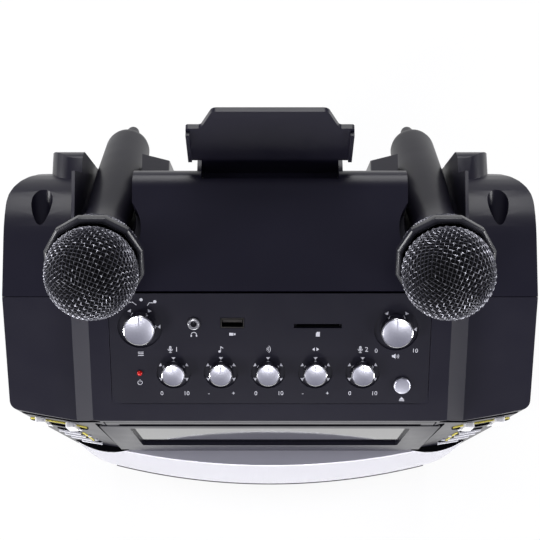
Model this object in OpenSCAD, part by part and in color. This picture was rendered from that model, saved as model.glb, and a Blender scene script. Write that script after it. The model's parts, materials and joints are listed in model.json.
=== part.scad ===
/* [Cabinet] */
// Width across the shoulders
body_w = 311; // [300:1:330]
// Height of the front top edge above the floor
front_edge_h = 290; // [284:1:300]
// Slope of the control panel, in degrees
panel_slope = 33.7; // [30:0.1:36]
// Length of the control panel up its slope
panel_len = 81.1; // [79:0.1:90]
// Slope of the flat top behind the control panel, in degrees
top_slope = 11.5; // [9:0.5:13]
// Depth of the base
base_depth = 178; // [174:1:186]
// Height where the rear wall starts to lean forward
knee_h = 228; // [215:1:235]
// Lean of the upper rear wall, in degrees
rear_lean = 18; // [15:0.5:20]
// Taper of each side towards the base, in degrees
side_taper = 5; // [3:0.5:6]
// Drop from the raised centre to the wings
wing_drop = 13; // [10:0.5:15]
// Width of the raised centre at its top
centre_w = 209; // [205:1:214]
// How far the front sweeps back at the shoulders
front_sweep = 8.7; // [6:0.1:11]
// Wall thickness of the moulded shells
wall = 3; // [2.4:0.1:3.6]
// Gap that shows as the seam between the shells
seam = 0.4; // [0.3:0.1:0.8]

/* [Feet] */
// Height of the rubber feet
foot_h = 6; // [4:0.5:9]
// Diameter of the rubber feet
foot_d = 20; // [16:1:24]

/* [Door and screen] */
// Width of the disc door
door_w = 197; // [190:1:200]
// Height of the disc door
door_h = 130; // [127:1:132]
// Height of the door's lower edge above the floor
door_z = 155; // [154:1:157]
// Thickness of the disc door
door_t = 16.5; // [15:0.5:18]
// Width of the picture area
screen_w = 154; // [140:1:160]
// Height of the picture area
screen_h = 86; // [78:1:92]
// Depth of the sloped frame in front of the glass
frame_depth = 9; // [6:0.5:10]
// Gap round the door
door_gap = 0.8; // [0.5:0.1:1.2]

/* [Disc drive] */
// Diameter of the disc that the well takes
disc_d = 120; // [118:1:122]
// Depth of the disc well behind the tray face
well_depth = 6; // [5:0.5:8]
// Diameter of the centre hole of a disc
disc_hole_d = 15; // [14.8:0.1:15.2]
// Module of the sled's rack and pinion
gear_module = 0.8; // [0.7:0.05:0.9]
// Teeth on the pinion
pinion_teeth = 12; // [11:1:14]
// Diameter of the sled's guide rods
rod_d = 3; // [2.5:0.1:3.5]

/* [Speaker] */
// Outer diameter of the woofer
woofer_d = 116; // [104:1:118]
// Depth of the woofer behind the baffle
woofer_depth = 52; // [46:1:60]
// Height of the grille
grille_h = 128; // [124:1:130]
// Height of the grille's lower edge above the floor
grille_z = 22; // [20:1:23]
// How far the grille bulges ahead of the front
grille_bulge = 13.6; // [9:0.1:16]
// Thickness of the grille sheet
grille_t = 1.2; // [1:0.1:1.6]

/* [Control panel] */
// Width of the control fascia
fascia_w = 185; // [180:1:190]
// Thickness of the control fascia
fascia_t = 2.2; // [1.8:0.1:2.6]
// Spacing of the small knobs
knob_pitch = 27.5; // [26.8:0.1:28]
// Distance of the small knobs up the slope
knob_row = 30.9; // [30:0.1:33]
// Cap diameter of the small knobs
knob_d = 12.8; // [12:0.1:14]
// Cap diameter of the large knobs
dial_d = 17.4; // [16:0.1:18]
// Height of the small knobs
knob_h = 5; // [4.5:0.1:8]
// Height of the large knobs
dial_h = 6; // [5.5:0.1:9]
// Diameter of the open button
open_d = 10; // [9:0.5:11]
// Bore of the headphone socket
jack_d = 3.6; // [3.5:0.1:3.7]

/* [Front keys] */
// Distance that a front key travels
key_travel = 1.2; // [0.8:0.1:1.5]
// Width of a bar key
bar_w = 14; // [12:0.5:15]
// Height of a bar key
bar_h = 4.2; // [3.5:0.1:5]

/* [Microphones] */
// Distance of each microphone from the middle
mic_x = 96.4; // [95:0.1:98]
// Length from the ring to the tail
mic_len = 208; // [196:1:212]
// Slope of the resting microphones, in degrees
mic_tilt = 47.5; // [45:0.5:49]
// Width of the ring round the microphone's head, across its flats
ring_d = 54.5; // [51:0.5:55.5]
// Thickest diameter of the microphone's grip
grip_d = 29.4; // [27:0.2:31]
// Room round the grip in its groove
groove_gap = 2.8; // [2.3:0.1:3.2]

/* [Phone cradle] */
// Width of the cradle across its ears
cradle_w = 94; // [90:1:98]
// Height of the cradle above the top
cradle_h = 49.5; // [46:0.5:54]
// Lean of the cradle, in degrees
cradle_lean = 12; // [9:0.5:14]
// Thickness of phone that the cradle takes
phone_t = 9.4; // [8:0.1:11]

/* [Hidden] */
$fn = 48;

// Clearances between pieces
fit = 0.3;
run = 0.05;
eps = 0.02;

// Cabinet lines, with y counted back from the door's plane
half_w = body_w / 2;
base_z = foot_h;
crease_y = panel_len * cos(panel_slope);
crease_z = front_edge_h + panel_len * sin(panel_slope);
knee_y = base_depth - 3;
wing_slope = top_slope - 1.3;
wing_round = 45;
top_round = 11;
shoulder_z = front_edge_h - 6;
flat_half = 100;
front_corner = 5;
rear_corner = 18;
strip_w = 11.5;
far = 2 * body_w;

// Microphone lines: the ring's centre, and the way from ring to tail
mic_y = crease_y + 9.5;
mic_z = crease_z + 27;
mic_dir = [sin(90 - mic_tilt), -cos(90 - mic_tilt)];
groove_r = grip_d / 2 + groove_gap;
groove_start = 15;
tail_r = 4.5;
neck_r = 12.6;
end_r = 6.4;
ring_r = ring_d / 2 / cos(15);
ring_pocket = 22.5;
slack = 0.15;
cone_r = ring_d / 2 - 2.4;
cone_z = [8, 28];
throat_r = groove_r - 1.5;
ring_bore = ring_d / 2 - 3.4;
head_z = -14;
mic_reach = mic_y + (mic_len - 1) * mic_dir[0] - tail_r * mic_dir[1];
frame_y = (mic_reach - grille_bulge) / 2;

// Rests for the microphones on the rear wall, lower towards the middle
rest_in = mic_x - 32.4;
rest_out = mic_x + 38;
rest_z = crease_z - 21;
rest_y = base_depth - 16;

// Cradle pocket, with its origin at the rear edge of the flat top
pocket_y = crease_y + 63.5;
pocket_z = crease_z + (pocket_y - crease_y) * tan(top_slope) - 1;
stem_half = cradle_w / 2 - 7.4;
lip_t = 2;
back_t = 3;
slot_t = lip_t + phone_t + back_t + 2 * fit;
pocket_h = 62;
shelf_h = -12;

// Door, tray and drive
door_top = door_z + door_h;
hinge_y = 3;
hinge_z = door_z + 3;
pin_r = 1.5;
glass_t = 1.6;
opening_w = screen_w / 2 + 16;
opening_h = screen_h / 2 + 15;
tunnel_t = 2.4;
tray_y = door_t + 0.9;
tray_t = 2.2;
disc_z = door_z + door_h / 2;
well_r = disc_d / 2 + 2.5;
well_y = tray_y + well_depth;
hub_y = well_y - 4;
hub_r = 14;
chassis_y = well_y + tray_t + 8;
chassis_t = 2;
sled_in = 12.5;
sled_len = 26;
sled_travel = 34;
pitch_r = gear_module * pinion_teeth / 2;
pinion_x = 50;
rod_gap = 17;
rack_z = disc_z - rod_gap - 7;
pinion_z = rack_z - pitch_r;
rod_y = chassis_y - 4;
rod_in = 6;
post_gap = rod_gap + 11;
rod_out = sled_in + sled_len + sled_travel + 4;
lens_x = 24;
motor_r = 11;
motor_h = 9;
backlash = 0.35;

// Speaker
baffle_y = 12;
baffle_t = 3;
woofer_z = grille_z + grille_h / 2;
grille_top = grille_z + grille_h;
grille_half = half_w - (shoulder_z - grille_top) * tan(side_taper) - 6;
grille_edge = 5;
grille_crown = 3;
grille_sag = grille_bulge + grille_edge;
grille_r = (grille_half * grille_half + grille_sag * grille_sag) / (2 * grille_sag);

// Controls, as [x, distance up the slope]
knob_x0 = -1.1;
function_at = [-74.9, 59.1];
volume_at = [72.8, 57.5];
open_at = [77.2, 22.8];
led_at = [-75.9, 30.6];
jack_at = [-43.9, 61.2];
usb_at = [-21.7, 61.7];
card_at = [27.6, 59.8];
usb_size = [13.2, 5.8];
card_size = [27.6, 2.6];
fascia_low = 11.2;
shaft_r = 3;
cap_t = 1.6;
ring_small_r = 10;
ring_large_r = 12.8;
board_gap = 16;
board_t = 1.6;
board_low = 25.4;
recess = 0.8;
latch_x = open_at[0];
latch_w = 8;
latch_y = door_t - 1;
latch_z = door_top + door_gap + tunnel_t + 1.4;
latch_hook = 4.5;
stem_end = 11.5;
hook_gap = 0.6;

// Keys on the front side panels, as [distance from the middle, height]
key_at = [[142, 238], [123, 240]];
bar_at = [[131, 212], [130, 197], [128, 182], [123, 167]];
key_size = [8, 7];
key_proud = 1.5;

// Rear plate and power inlet
plate_w = 84;
plate_h = 34;
plate_z = 60;
inlet_x = -84;
inlet_w = 30;
inlet_h = 20;
jack_x = [-26, -8, 10, 28];

// Screws through the rear shell into the front one, as [x, z]
boss_r = 4.5;
screw_r = 1.5;
well_bore = 6.2;
well_floor = crease_y + 18;
screw_at = [[half_w - 21, crease_z - 23], [half_w - 42, base_z + 44]];
well_rise = 4.5;
well_tilt = 14;
head_bore = 4.2;

// Boards on the floor, as [x, y, width, depth]
board = [-96, 74, 128, 84];
board_lift = 9;
supply = [44, 84, 56, 46];
core_h = 38;
coil_h = 24;
sink_at = [20, 60];
sink_t = 4;
sink_h = 24.5;
fin_pitch = 6;
fin_t = 1.5;
fin_depth = 14;
post_r = 3;

function unit(v) = v / norm(v);
function xy(p) = [p[0], p[1]];

// One corner of an outline as an arc of radius r
function arc_corner(a, p, b, r, n) = r <= 0 ? [p] :
    let (u = unit(a - p), v = unit(b - p), half = acos(u * v) / 2,
         c = p + unit(u + v) * r / sin(half),
         s = p + u * r / tan(half) - c, e = p + v * r / tan(half) - c,
         a0 = atan2(s[1], s[0]), d = (atan2(e[1], e[0]) - a0 + 540) % 360 - 180)
    [for (i = [0:n]) c + r * [cos(a0 + d * i / n), sin(a0 + d * i / n)]];

// An outline from corners [x, y, radius], run anticlockwise
function rounded(P, n = 6) = let (k = len(P))
    [for (i = [0:k - 1]) each arc_corner(xy(P[(i + k - 1) % k]), xy(P[i]), xy(P[(i + 1) % k]), P[i][2], n)];

// The same corners moved inwards by d
function inset(P, d) = let (k = len(P))
    [for (i = [0:k - 1]) let (
        u = unit(xy(P[i]) - xy(P[(i + k - 1) % k])), v = unit(xy(P[(i + 1) % k]) - xy(P[i])),
        n1 = [-u[1], u[0]], n2 = [-v[1], v[0]], m = d * (n1 + n2) / (1 + n1 * n2),
        r = P[i][2], left = u[0] * v[1] - u[1] * v[0] > 0)
        [P[i][0] + m[0], P[i][1] + m[1], r == 0 ? 0 : left ? max(0.01, r - d) : r + d]];

function box_corners(x0, y0, x1, y1, r) = [[x0, y0, r], [x1, y0, r], [x1, y1, r], [x0, y1, r]];

// Where the rear wall's line meets a top line through (crease_y, z) at slope a
function top_end(z, a) = (knee_y - (z - crease_y * tan(a) - knee_h) * tan(rear_lean))
    / (1 + tan(a) * tan(rear_lean));
function side_line(drop, a, r) = let (z = crease_z - drop, y = top_end(z, a))
    [[0, base_z, 0], [base_depth, base_z, 0], [knee_y, knee_h, 0],
     [y, z + (y - crease_y) * tan(a), r], [crease_y, z, 0], [0, front_edge_h - drop, 0]];

// Set-back of the front face at x on the shoulder line, and at a height z
function front_y(x) = abs(x) <= flat_half ? 0
    : front_sweep * pow((abs(x) - flat_half) / (half_w - flat_half), 1.2);
function face_y(x, z) = front_y(abs(x) + (shoulder_z - z) * tan(side_taper));
function rear_y(z) = base_depth - (base_depth - knee_y) * (z - base_z) / (knee_h - base_z);

module to_frame() { translate([0, -frame_y, 0]) children(); }
module on_side(s) { if (s < 0) mirror([1, 0, 0]) children(); else children(); }
module along_x(x0, x1) { rotate([90, 0, 90]) translate([0, 0, x0]) linear_extrude(x1 - x0) children(); }
module along_y(y0, y1) { translate([0, y1, 0]) rotate([90, 0, 0]) linear_extrude(y1 - y0) children(); }
module rod(x, z, r, y0, y1) { translate([x, y0, z]) rotate([-90, 0, 0]) cylinder(r = r, h = y1 - y0); }
module slab(x0, y0, z0, x1, y1, z1) { translate([x0, y0, z0]) cube([x1 - x0, y1 - y0, z1 - z0]); }

// Frame of the control panel: x across, y up the slope, z out of the panel
module on_panel(x = 0, s = 0) {
    translate([0, 0, front_edge_h]) rotate([panel_slope, 0, 0]) translate([x, s, 0]) children();
}
// Frame of a microphone: z from the ring to the tail
module on_mic(s) {
    translate([s * mic_x, mic_y, mic_z]) rotate([-(90 + mic_tilt), 0, 0]) children();
}
// Frame of the cradle: y back through its thickness, z up its plane
module on_cradle() { translate([0, pocket_y, pocket_z]) rotate([-cradle_lean, 0, 0]) children(); }

// The plan of the housing as a long prism, moved inwards by d
module plan_prism(d, z0, z1) {
    n = 7;
    swept = half_w - front_corner - flat_half;
    line = concat([[-far, 0, 0]], [for (i = [0:n]) [flat_half + swept * i / n, front_y(flat_half + swept * i / n), 0]],
        [[half_w, front_y(half_w), front_corner], [half_w, base_depth, rear_corner], [-far, base_depth, 0]]);
    translate([0, 0, z0]) linear_extrude(z1 - z0) polygon(rounded(inset(line, d)));
}
module tapered_plan(d) {
    intersection_for(s = [1, -1]) on_side(s)
        translate([half_w, 0, shoulder_z]) rotate([0, side_taper, 0])
            translate([-half_w, 0, -shoulder_z]) plan_prism(d, -far, far);
}
module leaning_plan(d) {
    translate([0, knee_y, knee_h]) rotate([rear_lean, 0, 0]) translate([0, -knee_y, -far])
        linear_extrude(2 * far) polygon(rounded(inset([[-half_w, -far, 0], [half_w, -far, 0],
            [half_w, knee_y, rear_corner], [-half_w, knee_y, rear_corner]], d)));
}
module raised_centre(d) {
    half = centre_w / 2 - d;
    wide = centre_w / 2 + strip_w;
    deep = 60;
    k1 = strip_w / wing_drop / cos(panel_slope);
    k2 = strip_w / wing_drop / cos(top_slope);
    intersection() {
        along_x(-wide, wide) polygon(rounded(inset(side_line(0, top_slope, top_round), d)));
        union() {
            intersection() {
                on_panel() along_y(-60, panel_len + 60) polygon([[-half - k1 * deep, -deep],
                    [half + k1 * deep, -deep], [half - k1, 1], [-half + k1, 1]]);
                slab(-far, -10, 0, far, crease_y, far);
            }
            intersection() {
                translate([0, crease_y, crease_z]) rotate([top_slope, 0, 0])
                    along_y(-deep, far) polygon([[-half - k2 * deep, -deep],
                        [half + k2 * deep, -deep], [half - k2, 1], [-half + k2, 1]]);
                slab(-far, crease_y, 0, far, far, far);
            }
        }
    }
}
module rest_blocks(d) {
    side = [[110, 120, 0], [base_depth - 1, 120, 0], [base_depth - 1, knee_h, 0],
        [rest_y, rest_z, 12], [110, rest_z + 8, 0]];
    front = [[rest_in, 100, 0], [rest_out, 100, 0], [rest_out, rest_z + 0.5, 16],
        [mic_x - 8, rest_z + 0.5, 8], [rest_in, rest_z - 34, 4]];
    for (s = [-1, 1]) on_side(s) intersection() {
        along_x(rest_in, rest_out) polygon(rounded(inset(side, d)));
        along_y(100, base_depth) polygon(rounded(inset(front, d)));
    }
}
// Solid form of the housing, moved inwards by d
module housing(d) {
    intersection() {
        union() {
            along_x(-half_w, half_w) polygon(rounded(inset(side_line(wing_drop, wing_slope, wing_round), d), 10));
            raised_centre(d);
        }
        intersection_for(s = [1, -1]) on_side(s) plan_prism(d, -1, far);
        tapered_plan(d);
        leaning_plan(d);
    }
    rest_blocks(d);
}
// Space that a microphone lies in, open upwards so that it lifts out
module mic_groove(s, extra) {
    r = groove_r + extra;
    a = groove_start - extra;
    p = [mic_y + a * mic_dir[0], mic_z + a * mic_dir[1]];
    q = [mic_y + 260 * mic_dir[0], mic_z + 260 * mic_dir[1]];
    on_mic(s) translate([0, 0, a]) cylinder(r = r, h = 245);
    on_mic(s) translate([0, 0, cone_z[0]])
        cylinder(r1 = cone_r + 0.5 + extra, r2 = throat_r + 0.5 + extra, h = cone_z[1] - cone_z[0]);
    on_mic(s) translate([0, 0, -4]) cylinder(r = ring_r + fit + extra, h = cone_z[0] + 4);
    translate([s * mic_x, 0, 0]) along_x(slack - r, r - slack) polygon([p, q, [q[0], 420], [p[0], 420]]);
    // Room beside the ring, on the inner side
    on_side(s) intersection() {
        translate([mic_x, crease_y + 35.5, crease_z - 12 - extra]) cylinder(r = ring_pocket + extra, h = 60);
        slab(0, 0, 0, mic_x, 200, 420);
    }
}
module cradle_pocket(extra) {
    half = stem_half + fit + extra;
    on_cradle() slab(-half, -extra, -pocket_h - extra, half, slot_t + extra, extra == 0 ? 60 : -4);
}
module screw_wells(r, y0, y1) { for (s = [-1, 1], p = screw_at) rod(s * p[0], p[1], r, y0, y1); }
// Wells of the upper screws rise backwards and open in the wings
module upper_wells(extra) {
    for (s = [-1, 1]) translate([s * screw_at[0][0], 0, screw_at[0][1]]) {
        translate([0, well_floor, well_rise]) rotate([well_tilt - 90, 0, 0]) translate([0, 0, -extra])
            cylinder(r = well_bore + extra, h = 70);
        rod(0, 0, head_bore + extra, well_floor - extra, well_floor + 12);
    }
}
module lower_wells(extra) {
    for (s = [-1, 1]) rod(s * screw_at[1][0], screw_at[1][1], well_bore + extra, well_floor - extra, base_depth + 5);
}
module cavity() {
    difference() {
        housing(wall);
        for (s = [-1, 1]) mic_groove(s, wall);
        cradle_pocket(2.4);
        screw_wells(well_bore, crease_y + seam / 2, well_floor + 6);
        upper_wells(2);
        lower_wells(2);
    }
}
module floor_form(d, z0, z1) {
    intersection() {
        tapered_plan(d);
        slab(-far, 0, z0, far, base_depth - d, z1);
    }
}
module door_tunnel(d, y1) {
    slab(-door_w / 2 - door_gap - d, -20, door_z - door_gap - d,
        door_w / 2 + door_gap + d, y1, door_top + door_gap + d);
}
function grille_line(d) = let (low = grille_half - grille_h * tan(side_taper))
    inset([[-low, grille_z, 6], [low, grille_z, 6], [grille_half, grille_top, 6], [-grille_half, grille_top, 6]], d);
module front_half() { slab(-far, -50, -10, far, crease_y - seam / 2, 420); }
module rear_half() { slab(-far, crease_y + seam / 2, -10, far, 300, 420); }
module key_hole(p, size) {
    slab(p[0] - size[0] / 2 - fit, -10, p[1] - size[1] / 2 - fit, p[0] + size[0] / 2 + fit, 30, p[1] + size[1] / 2 + fit);
}

module front_shell() color([0.07, 0.07, 0.08]) to_frame() {
    difference() {
        intersection() { housing(0); front_half(); }
        difference() {
            intersection() { housing(wall); front_half(); }
            door_tunnel(tunnel_t, tray_y);
            slab(-half_w, baffle_y, 0, half_w, baffle_y + baffle_t, grille_top + 2);
            screw_wells(boss_r, baffle_y + baffle_t - eps, crease_y);
            latch_lugs();
        }
        floor_form(wall, -1, base_z + wall + 1);
        door_tunnel(0, tray_y + 1);
        along_y(-30, baffle_y) polygon(rounded(grille_line(-fit)));
        rod(0, woofer_z, woofer_d / 2 - 6, 0, 30);
        on_panel(0, fascia_low - fit) slab(-fascia_w / 2 - fit, 0, -fascia_t,
            fascia_w / 2 + fit, panel_len + 20, 20);
        on_panel(0, fascia_low + 5) slab(-fascia_w / 2 + 5, 0, -fascia_t - wall - 3,
            fascia_w / 2 - 5, panel_len, 1);
        slab(latch_x - latch_w / 2 - 0.5, latch_y - latch_hook - 2, door_top,
            latch_x + latch_w / 2 + 0.5, latch_y - latch_hook + 2.5, latch_z - 0.8);
        along_x(latch_x - latch_w / 2 - 4, latch_x + latch_w / 2 + 4)
            translate([latch_y, latch_z + 1]) circle(r = 1 + run);
        for (s = [-1, 1]) on_side(s) {
            for (p = key_at) key_hole(p, key_size);
            for (p = bar_at) key_hole(p, [bar_w, bar_h]);
        }
        screw_wells(screw_r - 0.1, crease_y - 9, crease_y + 1);
        along_x(-door_w / 2 - door_gap - 2, door_w / 2 + door_gap + 2)
            translate([hinge_y, hinge_z]) circle(r = pin_r + run);
    }
}
module latch_lugs() {
    for (s = [-1, 1]) translate([latch_x + s * (latch_w / 2 + 1.8), 0, 0])
        slab(-1.4, latch_y - 2.2, door_top + door_gap + 1, 1.4, tray_y, latch_z + 3);
}
module rear_shell() color([0.06, 0.06, 0.07]) to_frame() {
    difference() {
        intersection() {
            union() {
                difference() { housing(0); cavity(); }
                cradle_pocket(2.4);
            }
            rear_half();
        }
        floor_form(wall, -1, base_z + wall + 1);
        for (s = [-1, 1]) mic_groove(s, 0);
        cradle_pocket(0);
        upper_wells(0);
        lower_wells(0);
        screw_wells(screw_r + 0.3, crease_y - 1, well_floor + 1);
        slab(-plate_w / 2, base_depth - 30, plate_z, plate_w / 2, base_depth + 5, plate_z + plate_h);
        slab(inlet_x - inlet_w / 2, base_depth - 30, plate_z + 7, inlet_x + inlet_w / 2, base_depth + 5, plate_z + 7 + inlet_h);
    }
}
module base_cover() color([0.08, 0.08, 0.08]) to_frame() {
    floor_form(wall + fit, base_z, base_z + wall);
    for (x = [board[0] + 5, board[0] + board[2] - 5], y = [board[1] + 5, board[1] + board[3] - 5])
        translate([x, y, base_z + wall - eps]) cylinder(r = post_r, h = board_lift + eps);
    for (i = [-3:3]) slab(i * 34 - 1, 20, base_z + wall - eps, i * 34 + 1, 68, base_z + wall + 4);
}
module rubber_feet() color([0.03, 0.03, 0.03]) to_frame()
    for (s = [-1, 1], y = [24, base_depth - 24])
        translate([s * (half_w - 52), y, 0]) cylinder(d1 = foot_d - 3, d2 = foot_d, h = foot_h);

module control_fascia() color([0.05, 0.05, 0.055]) to_frame() on_panel() {
    difference() {
        union() {
            translate([0, 0, -fascia_t]) linear_extrude(fascia_t)
                polygon(rounded([[-fascia_w / 2, fascia_low, 8], [fascia_w / 2, fascia_low, 8],
                    [fascia_w / 2, panel_len - 1.5, 0.6], [-fascia_w / 2, panel_len - 1.5, 0.6]]));
            for (s = [-1, 1], y = [board_low + 3, panel_len - 6])
                translate([s * (fascia_w / 2 - 8), y, -board_gap + board_t]) cylinder(r = 2.2, h = board_gap - board_t - 1);
        }
        for (i = [-2:2]) translate([knob_x0 + i * knob_pitch, knob_row, 0]) knob_seat(ring_small_r);
        for (p = [function_at, volume_at]) translate([p[0], p[1], 0]) knob_seat(ring_large_r);
        translate([open_at[0], open_at[1], -10]) cylinder(r = open_d / 2 + fit, h = 20);
        translate([led_at[0], led_at[1], -10]) cylinder(r = 1.5 + fit / 2, h = 20);
        translate([jack_at[0], jack_at[1], -10]) cylinder(r = 3.8, h = 20);
        translate([usb_at[0], usb_at[1], 0]) slab(-usb_size[0] / 2 - fit, -usb_size[1] / 2 - fit, -10,
            usb_size[0] / 2 + fit, usb_size[1] / 2 + fit, 10);
        translate([card_at[0], card_at[1], 0]) slab(-card_size[0] / 2, -card_size[1] / 2, -10,
            card_size[0] / 2, card_size[1] / 2, 10);
    }
}
module knob_seat(r) {
    translate([0, 0, -recess]) cylinder(r = r, h = 5);
    translate([0, 0, -10]) cylinder(r = shaft_r + 1, h = 20);
}
module potentiometers() color([0.6, 0.6, 0.62]) to_frame() on_panel() {
    for (i = [-2:2]) translate([knob_x0 + i * knob_pitch, knob_row, 0]) potentiometer(8, knob_h);
    for (p = [function_at, volume_at]) translate([p[0], p[1], 0]) potentiometer(9.5, dial_h);
}
module potentiometer(r, h) {
    translate([0, 0, -board_gap + board_t]) cylinder(r = r, h = board_gap - board_t - fascia_t - 1.4);
    translate([0, 0, -fascia_t - 2]) cylinder(r = shaft_r + 0.6, h = fascia_t + 1);
    translate([0, 0, -fascia_t - 2]) cylinder(r = shaft_r, h = h - cap_t - fit + fascia_t + 2);
}
// A knob with its base at the panel; its bore turns on the fixed shaft
module knob(r, h) {
    difference() {
        rotate_extrude() polygon([[0, -0.4], [r + 1, -0.4], [r + 1, 1.4], [r + 0.6, h - 0.9],
            [r + 0.2, h - 0.3], [r - 0.5, h], [0, h]]);
        translate([0, 0, -1]) cylinder(r = shaft_r + run, h = h - cap_t + 1);
        translate([0, 0, -1]) cylinder(r = shaft_r + 1, h = 1.5);
        // Pointer groove at the rim
        translate([0, r + 2, h]) rotate([90, 0, 0]) cylinder(r = 0.4, h = 0.3 * r + 2);
    }
}
module small_knob(i) color([0.62, 0.63, 0.66]) to_frame()
    on_panel(knob_x0 + (i - 3) * knob_pitch, knob_row) knob(knob_d / 2, knob_h);
module large_knob(p) color([0.62, 0.63, 0.66]) to_frame() on_panel(p[0], p[1]) knob(dial_d / 2, dial_h);

module open_button() color([0.55, 0.56, 0.6]) to_frame() on_panel(open_at[0], open_at[1]) {
    rotate_extrude() polygon([[0, -stem_end], [2, -stem_end], [2, -fascia_t - 2.4], [open_d / 2 + 1.2, -fascia_t - 2.4],
        [open_d / 2 + 1.2, -fascia_t - fit], [open_d / 2, -fascia_t - fit], [open_d / 2, 1.2],
        [open_d / 2 - 0.6, 1.8], [0, 2.1]]);
}
module door_latch() color([0.8, 0.8, 0.78]) to_frame() {
    translate([0, 0, latch_z]) {
        slab(latch_x - latch_w / 2, latch_y - latch_hook, 0, latch_x + latch_w / 2, latch_y + 13, 2);
        slab(latch_x - latch_w / 2, latch_y - latch_hook - 1, door_top + hook_gap - latch_z,
            latch_x + latch_w / 2, latch_y - latch_hook + 1.4, 2);
        along_x(latch_x - latch_w / 2 - 3, latch_x + latch_w / 2 + 3) translate([latch_y, 1]) circle(r = 1);
    }
}
module headphone_jack() color([0.75, 0.75, 0.78]) to_frame() on_panel(jack_at[0], jack_at[1])
    difference() {
        union() {
            translate([0, 0, -board_gap + board_t]) slab(-6, -6, 0, 6, 6, board_gap - board_t - fascia_t - fit);
            translate([0, 0, -4]) cylinder(r = 3.5, h = 5);
        }
        translate([0, 0, -11]) cylinder(d = jack_d, h = 20);
    }
module usb_socket() color([0.7, 0.7, 0.72]) to_frame() on_panel(usb_at[0], usb_at[1]) {
    difference() {
        slab(-usb_size[0] / 2, -usb_size[1] / 2, -board_gap + board_t, usb_size[0] / 2, usb_size[1] / 2, 0.2);
        slab(-usb_size[0] / 2 + 0.5, -usb_size[1] / 2 + 0.5, -12, usb_size[0] / 2 - 0.5, usb_size[1] / 2 - 0.5, 1);
    }
    slab(-5.6, -0.1, -12.1, 5.6, 1.5, -1.5);
}
module card_socket() color([0.2, 0.2, 0.22]) to_frame() on_panel(card_at[0], card_at[1])
    difference() {
        slab(-16, -3, -board_gap + board_t, 16, 3, -fascia_t - fit);
        slab(-12.3, -1.25, -12, 12.3, 1.25, 1);
    }
module power_led() color([0.8, 0.05, 0.05]) to_frame() on_panel(led_at[0], led_at[1]) {
    translate([0, 0, -board_gap + board_t]) cylinder(r = 1.5, h = board_gap - board_t + 0.2);
    translate([0, 0, 0.2]) sphere(r = 1.5, $fn = 24);
}
module control_board() color([0.1, 0.35, 0.15]) to_frame() on_panel()
    slab(-fascia_w / 2 + 4, board_low, -board_gap, fascia_w / 2 - 4, panel_len - 3.5, -board_gap + board_t);

module main_board() color([0.1, 0.35, 0.15]) to_frame()
    translate([board[0], board[1], base_z + wall + board_lift]) {
        slab(0, 0, 0, board[2], board[3], 1.6);
        slab(10, 12, 1.5, 26, 28, 3.4);
        slab(44, 20, 1.5, 58, 30, 3);
        for (i = [0:3]) translate([78 + 12 * i, 20, 1.5]) cylinder(r = 4.5, h = 14);
        translate([sink_at[0], sink_at[1], 1.5]) {
            slab(0, 0, 0, fin_pitch * 7 + fin_t, sink_t, sink_h);
            for (i = [0:7]) slab(fin_pitch * i, sink_t - 0.1, 0, fin_pitch * i + fin_t, fin_depth, sink_h);
        }
    }
module transformer() color([0.45, 0.4, 0.3]) to_frame()
    translate([supply[0], supply[1], base_z + wall]) {
        slab(0, 0, 0, supply[2], supply[3], 2);
        slab(6, 4, 1.9, supply[2] - 6, supply[3] - 4, 2 + core_h);
        slab(14, 0.5, 9, supply[2] - 14, supply[3] - 0.5, 9 + coil_h);
    }
// Upright plate with its jacks, set in the rear wall
module jack_plate() color([0.1, 0.1, 0.1]) to_frame() {
    y = rear_y(plate_z + plate_h);
    slab(-plate_w / 2 + fit, y - 5.5, plate_z + fit, plate_w / 2 - fit, y - 0.5, plate_z + plate_h - fit);
    slab(-plate_w / 2 - 4, y - 5.5, plate_z - 4, plate_w / 2 + 4, y - wall - 0.7, plate_z + plate_h + 4);
    for (x = jack_x) difference() {
        rod(x, plate_z + plate_h / 2, 4.2, y - 1, y + 9);
        rod(x, plate_z + plate_h / 2, 1.6, y + 1, y + 10);
    }
}
module power_inlet() color([0.05, 0.05, 0.05]) to_frame() {
    z = plate_z + 7;
    y = rear_y(z + inlet_h);
    difference() {
        union() {
            slab(inlet_x - inlet_w / 2 + fit, y - 20, z + fit, inlet_x + inlet_w / 2 - fit, y, z + inlet_h - fit);
            slab(inlet_x - inlet_w / 2 - 3, y - 6, z - 3, inlet_x + inlet_w / 2 + 3, y - wall - 0.7, z + inlet_h + 3);
        }
        for (s = [-1, 1]) rod(inlet_x + s * 4.2, z + inlet_h / 2, 4.4, y - 14, y + 5);
    }
    for (s = [-1, 1]) rod(inlet_x + s * 4.2, z + inlet_h / 2, 1.2, y - 14.5, y - 3);
}
module shell_screws() color([0.3, 0.3, 0.32]) to_frame() {
    screw_wells(screw_r - 0.2, crease_y - 8, well_floor + 1);
    difference() {
        screw_wells(3.4, well_floor, well_floor + 2.6);
        for (s = [-1, 1], p = screw_at) for (a = [0, 90]) translate([s * p[0], well_floor + 1.2, p[1]])
            rotate([0, a, 0]) slab(-2, 0, -0.4, 2, 3, 0.4);
    }
}
// A sheet that bulges forwards both ways, with a depth of t
module grille_sheet(t) {
    n = 10;
    outer = [for (i = [0:n]) let (z = grille_z - 4 + (grille_h + 8) * i / n, u = (z - woofer_z) / (grille_h / 2))
        [grille_r - grille_crown * u * u, z]];
    inner = [for (i = [0:n]) outer[n - i] - [t, 0]];
    translate([0, grille_r - grille_bulge, 0]) rotate([0, 0, 270 - 20])
        rotate_extrude(angle = 40, $fn = 180) polygon(concat(outer, inner));
}
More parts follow.
